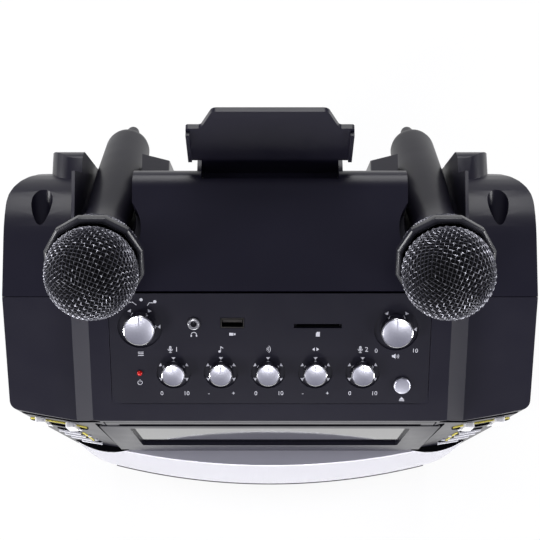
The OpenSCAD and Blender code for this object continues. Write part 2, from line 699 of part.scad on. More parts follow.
// The bowed sheet, with a rim that stands on the baffle
module speaker_grille() color([0.72, 0.73, 0.77]) to_frame() {
    intersection() {
        grille_sheet(grille_t);
        along_y(-30, 40) polygon(rounded(grille_line(0)));
    }
    intersection() {
        difference() {
            along_y(-30, baffle_y) polygon(rounded(grille_line(0)));
            along_y(-31, baffle_y + 1) polygon(rounded(grille_line(2)));
        }
        grille_sheet(60);
    }
}
module woofer_frame() color([0.25, 0.25, 0.27]) to_frame() {
    r = woofer_d / 2;
    y0 = baffle_y + baffle_t;
    y2 = y0 + woofer_depth;
    difference() {
        translate([0, 0, woofer_z]) rotate([-90, 0, 0]) rotate_extrude() polygon([[r - 7, y0], [r, y0], [r, y0 + 3],
            [r - 5, y0 + 3], [26, y2 - 22], [26, y2 - 18], [37, y2 - 18], [37, y2], [0, y2], [0, y2 - 22],
            [23, y2 - 22], [r - 7, y0 + 3]]);
        for (i = [0:5]) translate([0, y0 + 8, woofer_z]) rotate([0, 60 * i, 0])
            slab(-9, 0, 28, 9, y2 - 26 - y0 - 8, r - 8.2);
        for (i = [0:3]) translate([0, 0, woofer_z]) rotate([0, 45 + 90 * i, 0])
            translate([r - 3, y0 - 1, 0]) rotate([-90, 0, 0]) cylinder(r = 1.2, h = 6);
    }
}
module woofer_cone() color([0.12, 0.12, 0.13]) to_frame() {
    r = woofer_d / 2 - 7.3;
    y0 = baffle_y + baffle_t + 1;
    step = 30;
    translate([0, 0, woofer_z]) rotate([-90, 0, 0]) rotate_extrude() polygon(concat([[r, y0 + 1.5]],
        [for (i = [0:6]) [r - 4 + 4 * cos(i * step), y0 - 4 * sin(i * step)]],
        [[16, y0 + 22]], [for (i = [0:4]) [15 - i * 3.75, y0 + 21 - 5 * sin(i * 22.5)]],
        [for (i = [4:-1:0]) [15 - i * 3.75, y0 + 22.5 - 5 * sin(i * 22.5)]], [[16, y0 + 24]],
        [for (i = [6:-1:0]) [r - 4 + 3 * cos(i * step), y0 + 1 - 3 * sin(i * step)]]));
}

module door_frame() color([0.07, 0.07, 0.08]) to_frame() {
    x0 = door_w / 2;
    difference() {
        intersection() {
            along_y(0, door_t - 2) polygon(rounded(box_corners(-x0, door_z, x0, door_top, 1.5)));
            // The lower front edge is rounded about the hinge
            along_x(-x0, x0) polygon(rounded([[0, door_z, hinge_y], [door_t, door_z, 0],
                [door_t, door_top, 0], [0, door_top, 1]]));
        }
        intersection() {
            translate([0, 0, disc_z]) along_x(-far, far) polygon([[-1, -opening_h], [frame_depth + 1, 1 - screen_h / 2],
                [frame_depth + 1, screen_h / 2 - 1], [-1, opening_h]]);
            linear_extrude(400) polygon([[-opening_w, -1], [opening_w, -1],
                [screen_w / 2 - 1, frame_depth + 1], [1 - screen_w / 2, frame_depth + 1]]);
        }
        along_y(frame_depth, door_t) polygon(rounded(box_corners(-x0 + 2, door_z + 6, x0 - 2, door_top - 2, 1)));
    }
    for (s = [-1, 1]) on_side(s) along_x(x0 - 4, x0 + door_gap + 1.7) translate([hinge_y, hinge_z]) circle(r = pin_r);
}
module screen_glass() color([0.1, 0.11, 0.14, 0.6]) to_frame()
    along_y(frame_depth + run, frame_depth + glass_t) polygon(rounded(box_corners(-screen_w / 2 - 8,
        disc_z - screen_h / 2 - 7, screen_w / 2 + 8, disc_z + screen_h / 2 + 7, 2)));
module display_panel() color([0.15, 0.16, 0.18]) to_frame()
    slab(-screen_w / 2 - 5, frame_depth + glass_t + run, disc_z - screen_h / 2 - 5,
        screen_w / 2 + 5, door_t - 2 - run, disc_z + screen_h / 2 + 5);
module door_back() color([0.09, 0.09, 0.1]) to_frame() difference() {
    along_y(door_t - 2, door_t) polygon(rounded(box_corners(-door_w / 2, door_z + 2, door_w / 2, door_top, 1.5)));
    rod(0, disc_z, disc_hole_d / 2 + 2, door_t - 1.2, door_t + 1);
}

module disc_tray() color([0.08, 0.08, 0.09]) to_frame() {
    x0 = door_w / 2 + door_gap + tunnel_t;
    difference() {
        union() {
            slab(-x0, tray_y, door_z - door_gap - tunnel_t, x0, tray_y + tray_t, door_top + door_gap + tunnel_t);
            rod(0, disc_z, well_r + tray_t, tray_y, well_y + tray_t);
            for (s = [-1, 1]) {
                rod(-20, disc_z + s * post_gap, post_r, well_y, chassis_y);
                rod(rod_out + 2, disc_z + s * post_gap, post_r, tray_y, chassis_y);
            }
        }
        rod(0, disc_z, well_r, tray_y - 1, well_y);
        rod(0, disc_z, hub_r + 2, tray_y - 1, well_y + 10);
        slab(lens_x - 10, tray_y, disc_z - 7, lens_x + sled_travel + 8, well_y + 10, disc_z + 7);
        // Finger notches at the edge of the well
        for (s = [-1, 1]) rod(s * (well_r + 4), disc_z, 11, tray_y - 1, tray_y + 1.4);
    }
}
module drive_chassis() color([0.55, 0.56, 0.58]) to_frame() {
    difference() {
        slab(-26, chassis_y, disc_z - rod_gap - 18, rod_out + 8, chassis_y + chassis_t, disc_z + post_gap + 4);
        rod(0, disc_z, 5, chassis_y - 1, chassis_y + 5);
        rod(pinion_x, pinion_z, 2.5, chassis_y - 1, chassis_y + 5);
        slab(lens_x, chassis_y - 1, disc_z - 8, rod_out - 8, chassis_y + 5, disc_z + 8);
    }
    // Lugs for the guide rods
    for (x = [rod_in, rod_out - 3], s = [-1, 1]) difference() {
        slab(x, rod_y - 3, disc_z + s * rod_gap - 3, x + 3, chassis_y + eps, disc_z + s * rod_gap + 3);
        along_x(x - 1, x + 4) translate([rod_y, disc_z + s * rod_gap]) circle(d = rod_d + 0.02);
    }
}
module guide_rods() color([0.8, 0.8, 0.82]) to_frame()
    for (s = [-1, 1]) along_x(rod_in - 1, rod_out + 1) translate([rod_y, disc_z + s * rod_gap]) circle(d = rod_d);
module drive_motors() color([0.5, 0.5, 0.52]) to_frame() {
    y = chassis_y + chassis_t;
    difference() {
        union() {
            rod(0, disc_z, motor_r, y, y + motor_h);
            rod(pinion_x, pinion_z, 8, y, y + 14);
        }
        rod(0, disc_z, 1 + run, y - 1, y + 7);
        rod(pinion_x, pinion_z, 1 + run, y - 1, y + 7);
    }
}
module turntable() color([0.75, 0.75, 0.77]) to_frame() {
    boss = disc_hole_d / 2 - 0.1;
    translate([0, 0, disc_z]) rotate([-90, 0, 0]) rotate_extrude() polygon([[0, hub_y - 2.4], [boss - 1.6, hub_y - 2.4],
        [boss, hub_y - 1], [boss, hub_y], [hub_r, hub_y], [hub_r, hub_y + 1.6], [5, hub_y + 1.6], [4, chassis_y - 1],
        [1, chassis_y - 1], [1, chassis_y + chassis_t + 6], [0, chassis_y + chassis_t + 6]]);
    for (a = [0:120:240]) translate([0, hub_y - 1.3, disc_z]) rotate([0, a, 0]) translate([boss - 0.8, 0, 0])
        sphere(r = 1, $fn = 20);
}
// Involute outline of the pinion and the matching straight-sided rack
function involute(x) = tan(x) * 180 / PI - x;
function gear_point(r, side, k) = let (
    rb = pitch_r * cos(20), pa = acos(min(1, rb / max(r, rb))),
    half = 90 / pinion_teeth - backlash / 2 / pitch_r * 90 / PI + involute(20) - involute(pa),
    a = 90 + 360 * k / pinion_teeth - side * half) r * [cos(a), sin(a)];
module pinion_outline() {
    radii = [pitch_r - 1.2 * gear_module, pitch_r - 0.3 * gear_module, pitch_r, pitch_r + 0.4 * gear_module,
        pitch_r + 0.75 * gear_module];
    polygon([for (k = [0:pinion_teeth - 1]) each concat(
        [for (i = [0:4]) gear_point(radii[i], 1, k)], [for (i = [4:-1:0]) gear_point(radii[i], -1, k)])]);
}
module rack_outline(x0, x1) {
    p = PI * gear_module;
    n0 = ceil((x0 - pinion_x) / p);
    n1 = floor((x1 - pinion_x) / p) - 1;
    tip = p / 4 - backlash / 4 - 0.7 * gear_module * tan(20);
    root = p / 4 - backlash / 4 + 1.1 * gear_module * tan(20);
    polygon(concat([[x1, 3.6], [x0, 3.6], [x0, 1.1 * gear_module]], [for (k = [n0:n1]) let (c = pinion_x + (k + 0.5) * p)
        each [[c - root, 1.1 * gear_module], [c - tip, -0.7 * gear_module], [c + tip, -0.7 * gear_module],
            [c + root, 1.1 * gear_module]]], [[x1, 1.1 * gear_module]]));
}
module pickup_sled() color([0.16, 0.16, 0.18]) to_frame() {
    difference() {
        slab(sled_in, rod_y - 3, disc_z - rod_gap - 4, sled_in + sled_len, rod_y + 3, disc_z + rod_gap + 4);
        for (s = [-1, 1]) along_x(0, 100) translate([rod_y, disc_z + s * rod_gap]) circle(r = rod_d / 2 + run);
        rod(0, disc_z, motor_r + 2, rod_y - 4, rod_y + 4);
    }
    rod(lens_x, disc_z, 4.6, well_y - 0.6, rod_y - 3 + eps);
    rod(lens_x, disc_z, 2.6, well_y - 1.2, well_y);
    translate([0, 0, rack_z]) along_y(rod_y - 1.8, rod_y + 1.8) rack_outline(sled_in + 1, pinion_x + 2);
}
module sled_pinion() color([0.9, 0.9, 0.86]) to_frame() {
    translate([pinion_x, 0, pinion_z]) along_y(rod_y - 1.6, rod_y + 1.6) pinion_outline();
    rod(pinion_x, pinion_z, 2, rod_y + 1.5, chassis_y - 0.3);
    rod(pinion_x, pinion_z, 1, chassis_y - 1, chassis_y + chassis_t + 6);
}

// A front key: its face follows the side panel and its flange stays behind the wall
module front_key(s, p, size) color([0.78, 0.79, 0.82]) to_frame() on_side(s) {
    x = p[0] - size[0] / 2;
    n = 4;
    back = face_y(p[0] + size[0] / 2, p[1] - size[1] / 2) + wall * 1.05 + 0.5;
    face = [for (i = [0:n]) [x + size[0] * i / n, face_y(x + size[0] * i / n, p[1]) - key_proud]];
    translate([0, 0, p[1] - size[1] / 2]) linear_extrude(size[1])
        polygon(concat(face, [[x + size[0], back + 1.5], [x, back + 1.5]]));
    slab(x - 1, back, p[1] - size[1] / 2 - 0.8, x + size[0] + 1, back + 1.5, p[1] + size[1] / 2 + 0.8);
}

module phone_cradle() color([0.07, 0.07, 0.08]) to_frame() on_cradle() {
    y1 = slot_t - fit;
    y0 = y1 - back_t;
    ear = cradle_w / 2;
    ear_h = cradle_h - 16;
    difference() {
        union() {
            slab(-stem_half, y0, fit - pocket_h, stem_half, y1, cradle_h - 20);
            along_y(y0, y1) polygon(rounded([[-ear, 1.5, 1.5], [ear, 1.5, 1.5], [ear, ear_h, 1.5],
                [stem_half - 1, ear_h, 2], [stem_half - 8, cradle_h, 4], [8 - stem_half, cradle_h, 4],
                [1 - stem_half, ear_h, 2], [-ear, ear_h, 1.5]]));
            // Raised rims on the ears
            for (s = [-1, 1]) on_side(s) slab(ear - 2.2, y0 - 3, 4, ear, y0 + eps, ear_h - 2.5);
            // Shelf and lip for the phone
            slab(-stem_half, fit, shelf_h - 2, stem_half, y0 + eps, shelf_h);
            slab(-stem_half, fit, shelf_h - 2, stem_half, fit + lip_t, shelf_h + 9);
        }
        slab(-stem_half + 12, y0 - 1, -pocket_h + 8, stem_half - 12, y1 + 1, shelf_h - 8);
    }
    for (s = [-1, 1]) slab(s * 20 - 1, fit, shelf_h - 10, s * 20 + 1, y0 + eps, shelf_h - 1.9);
}

// Radius of the grip at z down its length, swelling and thinning smoothly
function ease(t) = t * t * (3 - 2 * t);
function grip_r(z) = z < mic_len - 90 ? neck_r + (grip_d / 2 - neck_r) * ease((z - 46) / (mic_len - 136))
    : z < mic_len - 44 ? grip_d / 2
    : end_r + (grip_d / 2 - end_r) * sqrt(max(0, 1 - pow((z - mic_len + 44) / 26, 2)));
module mic_grip(s) color([0.05, 0.05, 0.055]) to_frame() on_mic(s) {
    n = 7;
    rotate_extrude() polygon(concat([[0, 6], [cone_r, 6], [cone_r, cone_z[0]], [throat_r, cone_z[1]], [neck_r + 0.8, 38]],
        [for (i = [0:n]) let (z = 46 + (mic_len - 136) * i / n) [grip_r(z), z]],
        [for (a = [0:15:90]) let (z = mic_len - 44 + 26 * sin(a)) [grip_r(z), z]],
        [[tail_r, mic_len - 15], [tail_r, mic_len - 2], [tail_r - 1.5, mic_len], [0, mic_len]]));
}
module mic_ring(s) color([0.12, 0.12, 0.13]) to_frame() on_mic(s) difference() {
    union() {
        rotate(15) translate([0, 0, -3]) cylinder(r = ring_r, h = 7, $fn = 12);
        translate([0, 0, 4 - eps]) cylinder(r1 = ring_d / 2 - 1.6, r2 = cone_r, h = 2 + eps);
    }
    translate([0, 0, -4]) cylinder(r = ring_bore, h = 9);
}
module mic_head(s) color([0.2, 0.2, 0.21]) to_frame() on_mic(s) {
    r = ring_d / 2 - 2;
    n = 14;
    rotate_extrude() polygon(concat(
        [for (i = [0:n]) let (a = -90 + 115 * i / n) [r * cos(a), head_z + r * sin(a)]],
        [[ring_bore - fit, -2], [ring_bore - fit, 5], [ring_bore - 2, 5], [ring_bore - 2, -2]],
        [for (i = [n:-1:0]) let (a = -90 + 110 * i / n) [(r - 1.4) * cos(a), head_z + (r - 1.4) * sin(a)]]));
    translate([0, 0, head_z + 4]) cylinder(r = 9, h = 1 - head_z);
}

front_shell();
rear_shell();
base_cover();
rubber_feet();
control_fascia();
disc_tray();
drive_chassis();
guide_rods();
drive_motors();
speaker_grille();
woofer_frame();
woofer_cone();
main_board();
control_board();
potentiometers();
headphone_jack();
usb_socket();
card_socket();
power_led();
transformer();
jack_plate();
power_inlet();
shell_screws();
door_frame();
screen_glass();
display_panel();
door_back();
turntable();
pickup_sled();
sled_pinion();
large_knob(function_at);  // function_dial
large_knob(volume_at);  // volume_dial
small_knob(1);  // knob_1
small_knob(2);  // knob_2
small_knob(3);  // knob_3
small_knob(4);  // knob_4
small_knob(5);  // knob_5
open_button();
door_latch();
front_key(-1, key_at[0], key_size);  // left_key_a
front_key(-1, key_at[1], key_size);  // left_key_b
front_key(-1, bar_at[0], [bar_w, bar_h]);  // left_bar_1
front_key(-1, bar_at[1], [bar_w, bar_h]);  // left_bar_2
front_key(-1, bar_at[2], [bar_w, bar_h]);  // left_bar_3
front_key(-1, bar_at[3], [bar_w, bar_h]);  // left_bar_4
front_key(1, key_at[0], key_size);  // right_key_a
front_key(1, key_at[1], key_size);  // right_key_b
front_key(1, bar_at[0], [bar_w, bar_h]);  // right_bar_1
front_key(1, bar_at[1], [bar_w, bar_h]);  // right_bar_2
front_key(1, bar_at[2], [bar_w, bar_h]);  // right_bar_3
front_key(1, bar_at[3], [bar_w, bar_h]);  // right_bar_4
phone_cradle();
mic_head(-1);  // left_mic_head
mic_ring(-1);  // left_mic_ring
mic_grip(-1);  // left_mic_grip
mic_head(1);  // right_mic_head
mic_ring(1);  // right_mic_ring
mic_grip(1);  // right_mic_grip
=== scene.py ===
import json
import math
import bpy
import bmesh
from mathutils import Matrix, Vector

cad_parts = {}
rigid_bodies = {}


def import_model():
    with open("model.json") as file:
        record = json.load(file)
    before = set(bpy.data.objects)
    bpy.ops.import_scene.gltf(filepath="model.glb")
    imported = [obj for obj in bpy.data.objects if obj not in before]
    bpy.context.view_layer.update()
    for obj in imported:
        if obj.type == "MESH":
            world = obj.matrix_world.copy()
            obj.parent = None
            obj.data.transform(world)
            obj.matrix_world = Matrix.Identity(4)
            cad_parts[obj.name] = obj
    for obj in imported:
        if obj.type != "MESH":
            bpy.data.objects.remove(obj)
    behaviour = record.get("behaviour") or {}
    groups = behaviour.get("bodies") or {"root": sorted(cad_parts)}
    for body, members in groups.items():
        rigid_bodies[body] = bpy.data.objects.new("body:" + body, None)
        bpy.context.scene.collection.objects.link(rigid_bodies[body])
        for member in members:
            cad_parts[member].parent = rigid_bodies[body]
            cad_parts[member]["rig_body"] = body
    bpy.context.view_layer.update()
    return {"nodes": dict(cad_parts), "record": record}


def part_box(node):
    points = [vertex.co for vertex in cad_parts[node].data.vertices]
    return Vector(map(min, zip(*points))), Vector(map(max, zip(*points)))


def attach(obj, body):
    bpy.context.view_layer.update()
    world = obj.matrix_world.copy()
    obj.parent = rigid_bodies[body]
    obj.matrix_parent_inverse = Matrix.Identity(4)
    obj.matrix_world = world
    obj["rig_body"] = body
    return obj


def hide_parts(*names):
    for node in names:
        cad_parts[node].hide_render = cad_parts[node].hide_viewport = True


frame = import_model()
nodes = frame["nodes"]
mm = 0.001
print("frame loaded:", len(nodes), "nodes")


# Picking and shaping by hand
def deselect():
    if bpy.context.object and bpy.context.object.mode != "OBJECT":
        bpy.ops.object.mode_set(mode="OBJECT")
    bpy.ops.object.select_all(action="DESELECT")


def pick(piece):
    deselect()
    piece.hide_set(False)
    piece.select_set(True)
    bpy.context.view_layer.objects.active = piece
    return piece


def named(name):
    piece = bpy.context.object
    piece.name = name
    piece.data.name = name
    return piece


def applyPlace(piece):
    pick(piece)
    bpy.ops.object.transform_apply(location=True, rotation=True, scale=True)
    return piece


def place(piece, matrix):
    piece.matrix_world = matrix @ piece.matrix_world
    return applyPlace(piece)


def modifier(piece, kind, **settings):
    pick(piece)
    made = piece.modifiers.new(kind.title(), kind)
    for key, value in settings.items():
        setattr(made, key, value)
    bpy.ops.object.modifier_apply(modifier=made.name)
    return piece


def smooth(piece, angle=35):
    pick(piece)
    bpy.ops.object.shade_smooth_by_angle(angle=math.radians(angle))
    return piece


def joined(name, pieces):
    deselect()
    for piece in pieces:
        piece.select_set(True)
    bpy.context.view_layer.objects.active = pieces[0]
    if len(pieces) > 1:
        bpy.ops.object.join()
    return named(name)


def copyOf(piece, name):
    twin = piece.copy()
    twin.data = piece.data.copy()
    twin.name = twin.data.name = name
    bpy.context.scene.collection.objects.link(twin)
    return twin


# Turns a profile of (radius, height) points, in millimetres, round the Z axis
def turned(name, profile, steps=48, closed=False):
    deselect()
    bpy.ops.mesh.primitive_plane_add(size=1)
    piece = named(name)
    bpy.ops.object.mode_set(mode="EDIT")
    bpy.ops.mesh.delete(type="VERT")
    shape = bmesh.from_edit_mesh(piece.data)
    points = [shape.verts.new((r * mm, 0, z * mm)) for r, z in profile]
    for a, b in zip(points, points[1:] + points[:1] if closed else points[1:]):
        shape.edges.new((a, b))
    bmesh.update_edit_mesh(piece.data)
    bpy.ops.mesh.select_all(action="SELECT")
    bpy.ops.mesh.spin(steps=steps, angle=2 * math.pi, center=(0, 0, 0), axis=(0, 0, 1))
    bpy.ops.mesh.select_all(action="SELECT")
    bpy.ops.mesh.remove_doubles(threshold=1e-6)
    bpy.ops.mesh.normals_make_consistent(inside=False)
    bpy.ops.object.mode_set(mode="OBJECT")
    return piece


# A flat outline in millimetres, drawn out from one height to another
def drawnOut(name, outline, low, high):
    deselect()
    bpy.ops.mesh.primitive_plane_add(size=1)
    piece = named(name)
    bpy.ops.object.mode_set(mode="EDIT")
    bpy.ops.mesh.delete(type="VERT")
    shape = bmesh.from_edit_mesh(piece.data)
    shape.faces.new([shape.verts.new((x * mm, y * mm, low * mm)) for x, y in outline])
    bmesh.update_edit_mesh(piece.data)
    bpy.ops.mesh.select_all(action="SELECT")
    bpy.ops.mesh.extrude_region_move(TRANSFORM_OT_translate={"value": (0, 0, (high - low) * mm)})
    bpy.ops.mesh.select_all(action="SELECT")
    bpy.ops.mesh.normals_make_consistent(inside=False)
    bpy.ops.object.mode_set(mode="OBJECT")
    return piece


# Puts a finished piece on a body, with its material, and hides the nodes it stands in for
def mounted(piece, look, slot, body, *replaced):
    if look:
        finish(piece, look)
    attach(piece, body)
    if replaced:
        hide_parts(*replaced)
    return piece


def carved(piece, cutters):
    tool = joined("cutter", cutters)
    modifier(piece, "BOOLEAN", object=tool, operation="DIFFERENCE", solver="EXACT")
    bpy.data.objects.remove(tool)
    return piece


# A merged copy of a CAD node with its edges rounded, which stands in the node's place
def softened(node, width, segments=2, angle=30):
    piece = copyOf(nodes[node], node + "Soft")
    pick(piece)
    bpy.ops.object.mode_set(mode="EDIT")
    bpy.ops.mesh.select_all(action="SELECT")
    bpy.ops.mesh.remove_doubles(threshold=2e-6)
    bpy.ops.mesh.dissolve_limited(angle_limit=math.radians(0.6))
    bpy.ops.object.mode_set(mode="OBJECT")
    modifier(piece, "BEVEL", width=width, segments=segments, limit_method="ANGLE",
             angle_limit=math.radians(angle), use_clamp_overlap=True)
    smooth(piece, 40)
    modifier(piece, "WEIGHTED_NORMAL", mode="FACE_AREA", weight=60, keep_sharp=True)
    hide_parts(node)
    return piece


# Shader sockets that add and multiply as numbers do
class Wire:
    def __init__(self, tree, socket):
        self.tree = tree
        self.socket = socket

    def node(self, kind, settings=None, inputs=None, output=0):
        made = self.tree.nodes.new(kind)
        for key, value in (settings or {}).items():
            if key == "stops":
                ramp = made.color_ramp
                while len(ramp.elements) < len(value):
                    ramp.elements.new(0.5)
                for stop, (where, tone) in zip(ramp.elements, value):
                    stop.position = where
                    stop.color = (tone, tone, tone, 1) if isinstance(tone, (int, float)) else (*tone, 1)
            else:
                setattr(made, key, value)
        for key, value in (inputs or {}).items():
            if isinstance(value, Wire):
                self.tree.links.new(value.socket, made.inputs[key])
            else:
                made.inputs[key].default_value = value
        return Wire(self.tree, made.outputs[output])

    def math(self, operation, *values):
        return self.node("ShaderNodeMath", {"operation": operation}, dict(enumerate(values)))

    def __add__(self, other):
        return self.math("ADD", self, other)

    def __sub__(self, other):
        return self.math("SUBTRACT", self, other)

    def __mul__(self, other):
        return self.math("MULTIPLY", self, other)

    def __rsub__(self, other):
        return self.math("SUBTRACT", other, self)

    def above(self, level):
        return self.math("GREATER_THAN", self, level)

    def mix(self, low, high):
        return self.node("ShaderNodeMix", {"data_type": "RGBA"}, {0: self, 6: low, 7: high}, 2)

    def parts(self):
        return [self.node("ShaderNodeSeparateXYZ", None, {0: self}, i) for i in range(3)]

    __radd__ = __add__
    __rmul__ = __mul__


# A material whose pattern is drawn by paint(here, shader settings)
def material(name, paint, **constants):
    made = bpy.data.materials.new(name)
    made.use_nodes = True
    tree = made.node_tree
    shader = tree.nodes["Principled BSDF"]
    for key, value in constants.items():
        shader.inputs[key.replace("_", " ")].default_value = value
    here = Wire(tree, tree.nodes.new("ShaderNodeTexCoord").outputs["Object"])
    for key, value in paint(here).items():
        tree.links.new(value.socket, shader.inputs[key])
    made.diffuse_color = (*shader.inputs["Base Color"].default_value[:3], 1)
    return made


def noise(here, scale, detail=3.0, rough=0.55):
    return here.node("ShaderNodeTexNoise", None,
                     {"Vector": here, "Scale": scale, "Detail": detail, "Roughness": rough})


def bump(height, strength, depth):
    return height.node("ShaderNodeBump", None, {"Strength": strength, "Distance": depth, "Height": height})


def rgb(*tone):
    return (*tone, 1)


# Moulded plastic: fine grain, faint cloudiness and slow changes in gloss
def moulded(name, tone, lift, rough, grain=0.25, grainSize=2600, specular=0.5, coat=0.0):
    def paint(here):
        cloud = noise(here, 14)
        fine = noise(here, grainSize, 2)
        return {"Base Color": cloud.mix(rgb(*tone), rgb(*[t * lift for t in tone])),
                "Roughness": noise(here, 55, 4) * 0.1 + (rough - 0.05),
                "Normal": bump(fine, grain, 0.0001)}
    return material(name, paint, Specular_IOR_Level=specular, Coat_Weight=coat, Coat_Roughness=0.12)


# Metal with fine brushing along one axis, and small stains in its gloss
def brushed(name, tone, rough, stretch=(1, 1, 12), metallic=1.0):
    def paint(here):
        lines = here.node("ShaderNodeMapping", None, {"Vector": here, "Scale": stretch})
        streak = noise(lines, 900, 2)
        stain = noise(here, 40, 4)
        return {"Base Color": streak.mix(rgb(*[t * 0.86 for t in tone]), rgb(*tone)),
                "Roughness": stain * 0.12 + (rough - 0.06),
                "Normal": bump(streak, 0.12, 0.00005)}
    return material(name, paint, Metallic=metallic)


tones = {
    "shell": (0.0090, 0.0082, 0.0165),
    "fascia": (0.0068, 0.0062, 0.0135),
    "inner": (0.020, 0.020, 0.024),
    "steel": (0.60, 0.60, 0.62),
    "grille": (0.93, 0.92, 1.0),
}
shellBlack = moulded("shellBlack", tones["shell"], 1.25, 0.34, 0.14, specular=0.42)
fasciaBlack = moulded("fasciaBlack", tones["fascia"], 1.2, 0.42, 0.2, specular=0.36)
innerBlack = moulded("innerBlack", tones["inner"], 1.3, 0.5, 0.3)
rubberBlack = moulded("rubberBlack", (0.014, 0.014, 0.015), 1.5, 0.75, 0.6, 900, 0.3)
micBlack = moulded("micBlack", (0.0075, 0.007, 0.0125), 1.3, 0.4, 0.12, 3000, 0.16)
coneBlack = moulded("coneBlack", (0.016, 0.016, 0.017), 1.6, 0.8, 0.7, 700, 0.25)
driveWhite = moulded("driveWhite", (0.62, 0.62, 0.58), 1.08, 0.42, 0.2)
keyWhite = moulded("keyWhite", (0.74, 0.74, 0.76), 1.06, 0.35, 0.15)
keySilver = moulded("keySilver", (0.70, 0.70, 0.76), 1.06, 0.32, 0.15)
ledRed = moulded("ledRed", (0.55, 0.012, 0.01), 1.4, 0.15, 0.05)
displayDark = moulded("displayDark", (0.006, 0.006, 0.009), 1.3, 0.12, 0.02)
brightSteel = brushed("brightSteel", tones["steel"], 0.3)
knobSilver = brushed("knobSilver", (0.62, 0.63, 0.68), 0.32, (1, 1, 1))


# Perforated sheet: rows of round holes, every other row shifted by half a step
holes = {"step": 0.0024, "rise": 0.0021, "radius": 0.0006, "low": 0.0255, "top": 0.1465, "tone": (0.02, 0.02, 0.03)}


def grillePaint(here):
    x, y, z = here.parts()
    v = z * (1 / holes["rise"])
    u = x * (1 / holes["step"]) + v.math("FLOOR", v) * 0.5
    du = (u.math("FRACT", u) - 0.5) * holes["step"]
    dv = (v.math("FRACT", v) - 0.5) * holes["rise"]
    border = z.above(holes["top"]) + z.math("LESS_THAN", z, holes["low"])
    sheet = (du * du + dv * dv).above(holes["radius"] ** 2)
    metal = sheet.math("MAXIMUM", sheet, border)
    return {"Base Color": metal.mix(rgb(*holes["tone"]), rgb(*tones["grille"])),
            "Roughness": noise(here, 40, 4) * 0.1 + 0.34,
            "Normal": bump(noise(here, 900, 2), 0.12, 0.00005)}


grilleSilver = material("grilleSilver", grillePaint, Metallic=0.8)
coreSteel = brushed("coreSteel", (0.20, 0.19, 0.18), 0.5, (1, 1, 14))
meshWire = brushed("meshWire", (0.19, 0.19, 0.215), 0.36, (1, 1, 1))


# Lacquered board with copper tracks under the green
def boardPaint(here):
    tracks = here.node("ShaderNodeTexBrick", {"offset": 0.5}, {
        "Vector": here, "Color1": rgb(0.012, 0.085, 0.03), "Color2": rgb(0.016, 0.105, 0.036),
        "Mortar": rgb(0.05, 0.19, 0.07), "Scale": 190.0, "Mortar Size": 0.03})
    return {"Base Color": tracks, "Roughness": noise(here, 120) * 0.15 + 0.25,
            "Normal": bump(noise(here, 400), 0.15, 0.0001)}


boardGreen = material("boardGreen", boardPaint)


def glassPaint(here):
    return {"Roughness": noise(here, 30) * 0.05 + 0.03}


screenGlass = material("screenGlass", glassPaint, Base_Color=rgb(0.004, 0.004, 0.006), Specular_IOR_Level=0.5)

foamBlack = moulded("foamBlack", (0.006, 0.006, 0.007), 1.5, 0.9, 0.8, 600, 0.1)
# Black with no gloss: painted shade for the gaps, grooves, ledges and crescents on the front, and also the black jack
# ring at the back
shadeAndJackBlack = moulded("shadeAndJackBlack", (0.003, 0.003, 0.004), 1.3, 0.7, 0.1, specular=0.0)
ringBlack = moulded("ringBlack", (0.016, 0.016, 0.021), 1.2, 0.26, 0.12, 2600, 0.6)
markWhite = moulded("markWhite", (0.62, 0.62, 0.68), 1.04, 0.5, 0.05)
markYellow = moulded("markYellow", (0.62, 0.53, 0.06), 1.05, 0.5, 0.05)
usbSteel = brushed("usbSteel", (0.10, 0.095, 0.09), 0.4)
ringRed = moulded("ringRed", (0.42, 0.02, 0.02), 1.1, 0.35, 0.1)
lensBlue = moulded("lensBlue", (0.02, 0.03, 0.09), 1.3, 0.05, 0.0, coat=0.6)
knobChrome = brushed("knobChrome", (0.80, 0.80, 0.82), 0.16, (1, 1, 1))
knobSatin = brushed("knobSatin", (0.70, 0.70, 0.79), 0.38, (1, 1, 1), 0.9)

finishes = {
    "shell_black": shellBlack, "fascia_black": fasciaBlack, "rubber_black": rubberBlack,
    "grille_silver": grilleSilver, "knob_silver": knobSilver, "bright_metal": brightSteel,
    "inner_black": innerBlack, "cone_black": coneBlack, "board_green": boardGreen,
    "core_steel": coreSteel, "screen_glass": screenGlass, "display_dark": displayDark,
    "key_silver": keySilver, "key_white": keyWhite, "led_red": ledRed, "mic_black": micBlack,
    "mic_mesh": meshWire, "drive_white": driveWhite,
}
slots = {row["node"]: row["material_slot"] for row in frame["record"]["subparts"]}


def finish(piece, look):
    piece.data.materials.clear()
    piece.data.materials.append(look)
    return piece


for name, piece in nodes.items():
    finish(piece, finishes[slots[name]])
finish(nodes["usb_socket"], usbSteel)
print("materials made:", len(bpy.data.materials))

# Edge-rounded shells
shells = {"front_shell": 0.0013, "rear_shell": 0.0013, "door_frame": 0.0004, "phone_cradle": 0.0004}
for name, width in shells.items():
    piece = softened(name, width)
    finish(piece, finishes[slots[name]])
    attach(piece, nodes[name]["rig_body"])
print("shells softened")

# Places, in millimetres: x across, y back from the door's plane, z up
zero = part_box("door_frame")[0].y
layout = {"panelEdge": 290, "panelSlope": 33.7, "micX": 96.4, "micY": 76.97, "micZ": 362.0, "micTilt": 47.5}


def at(x, y, z):
    return Vector((x * mm, zero + y * mm, z * mm))


# x across the control panel, s up its slope and z out of it
def onPanel(x, s, z=0, spin=0):
    return (Matrix.Translation(at(0, 0, layout["panelEdge"]))
            @ Matrix.Rotation(math.radians(layout["panelSlope"]), 4, "X")
            @ Matrix.Translation((x * mm, s * mm, z * mm)) @ Matrix.Rotation(math.radians(spin), 4, "Z"))


# Origin in a microphone's ring, z down its grip
def onMic(side):
    return (Matrix.Translation(at(side * layout["micX"], layout["micY"], layout["micZ"]))
            @ Matrix.Rotation(-math.radians(90 + layout["micTilt"]), 4, "X"))


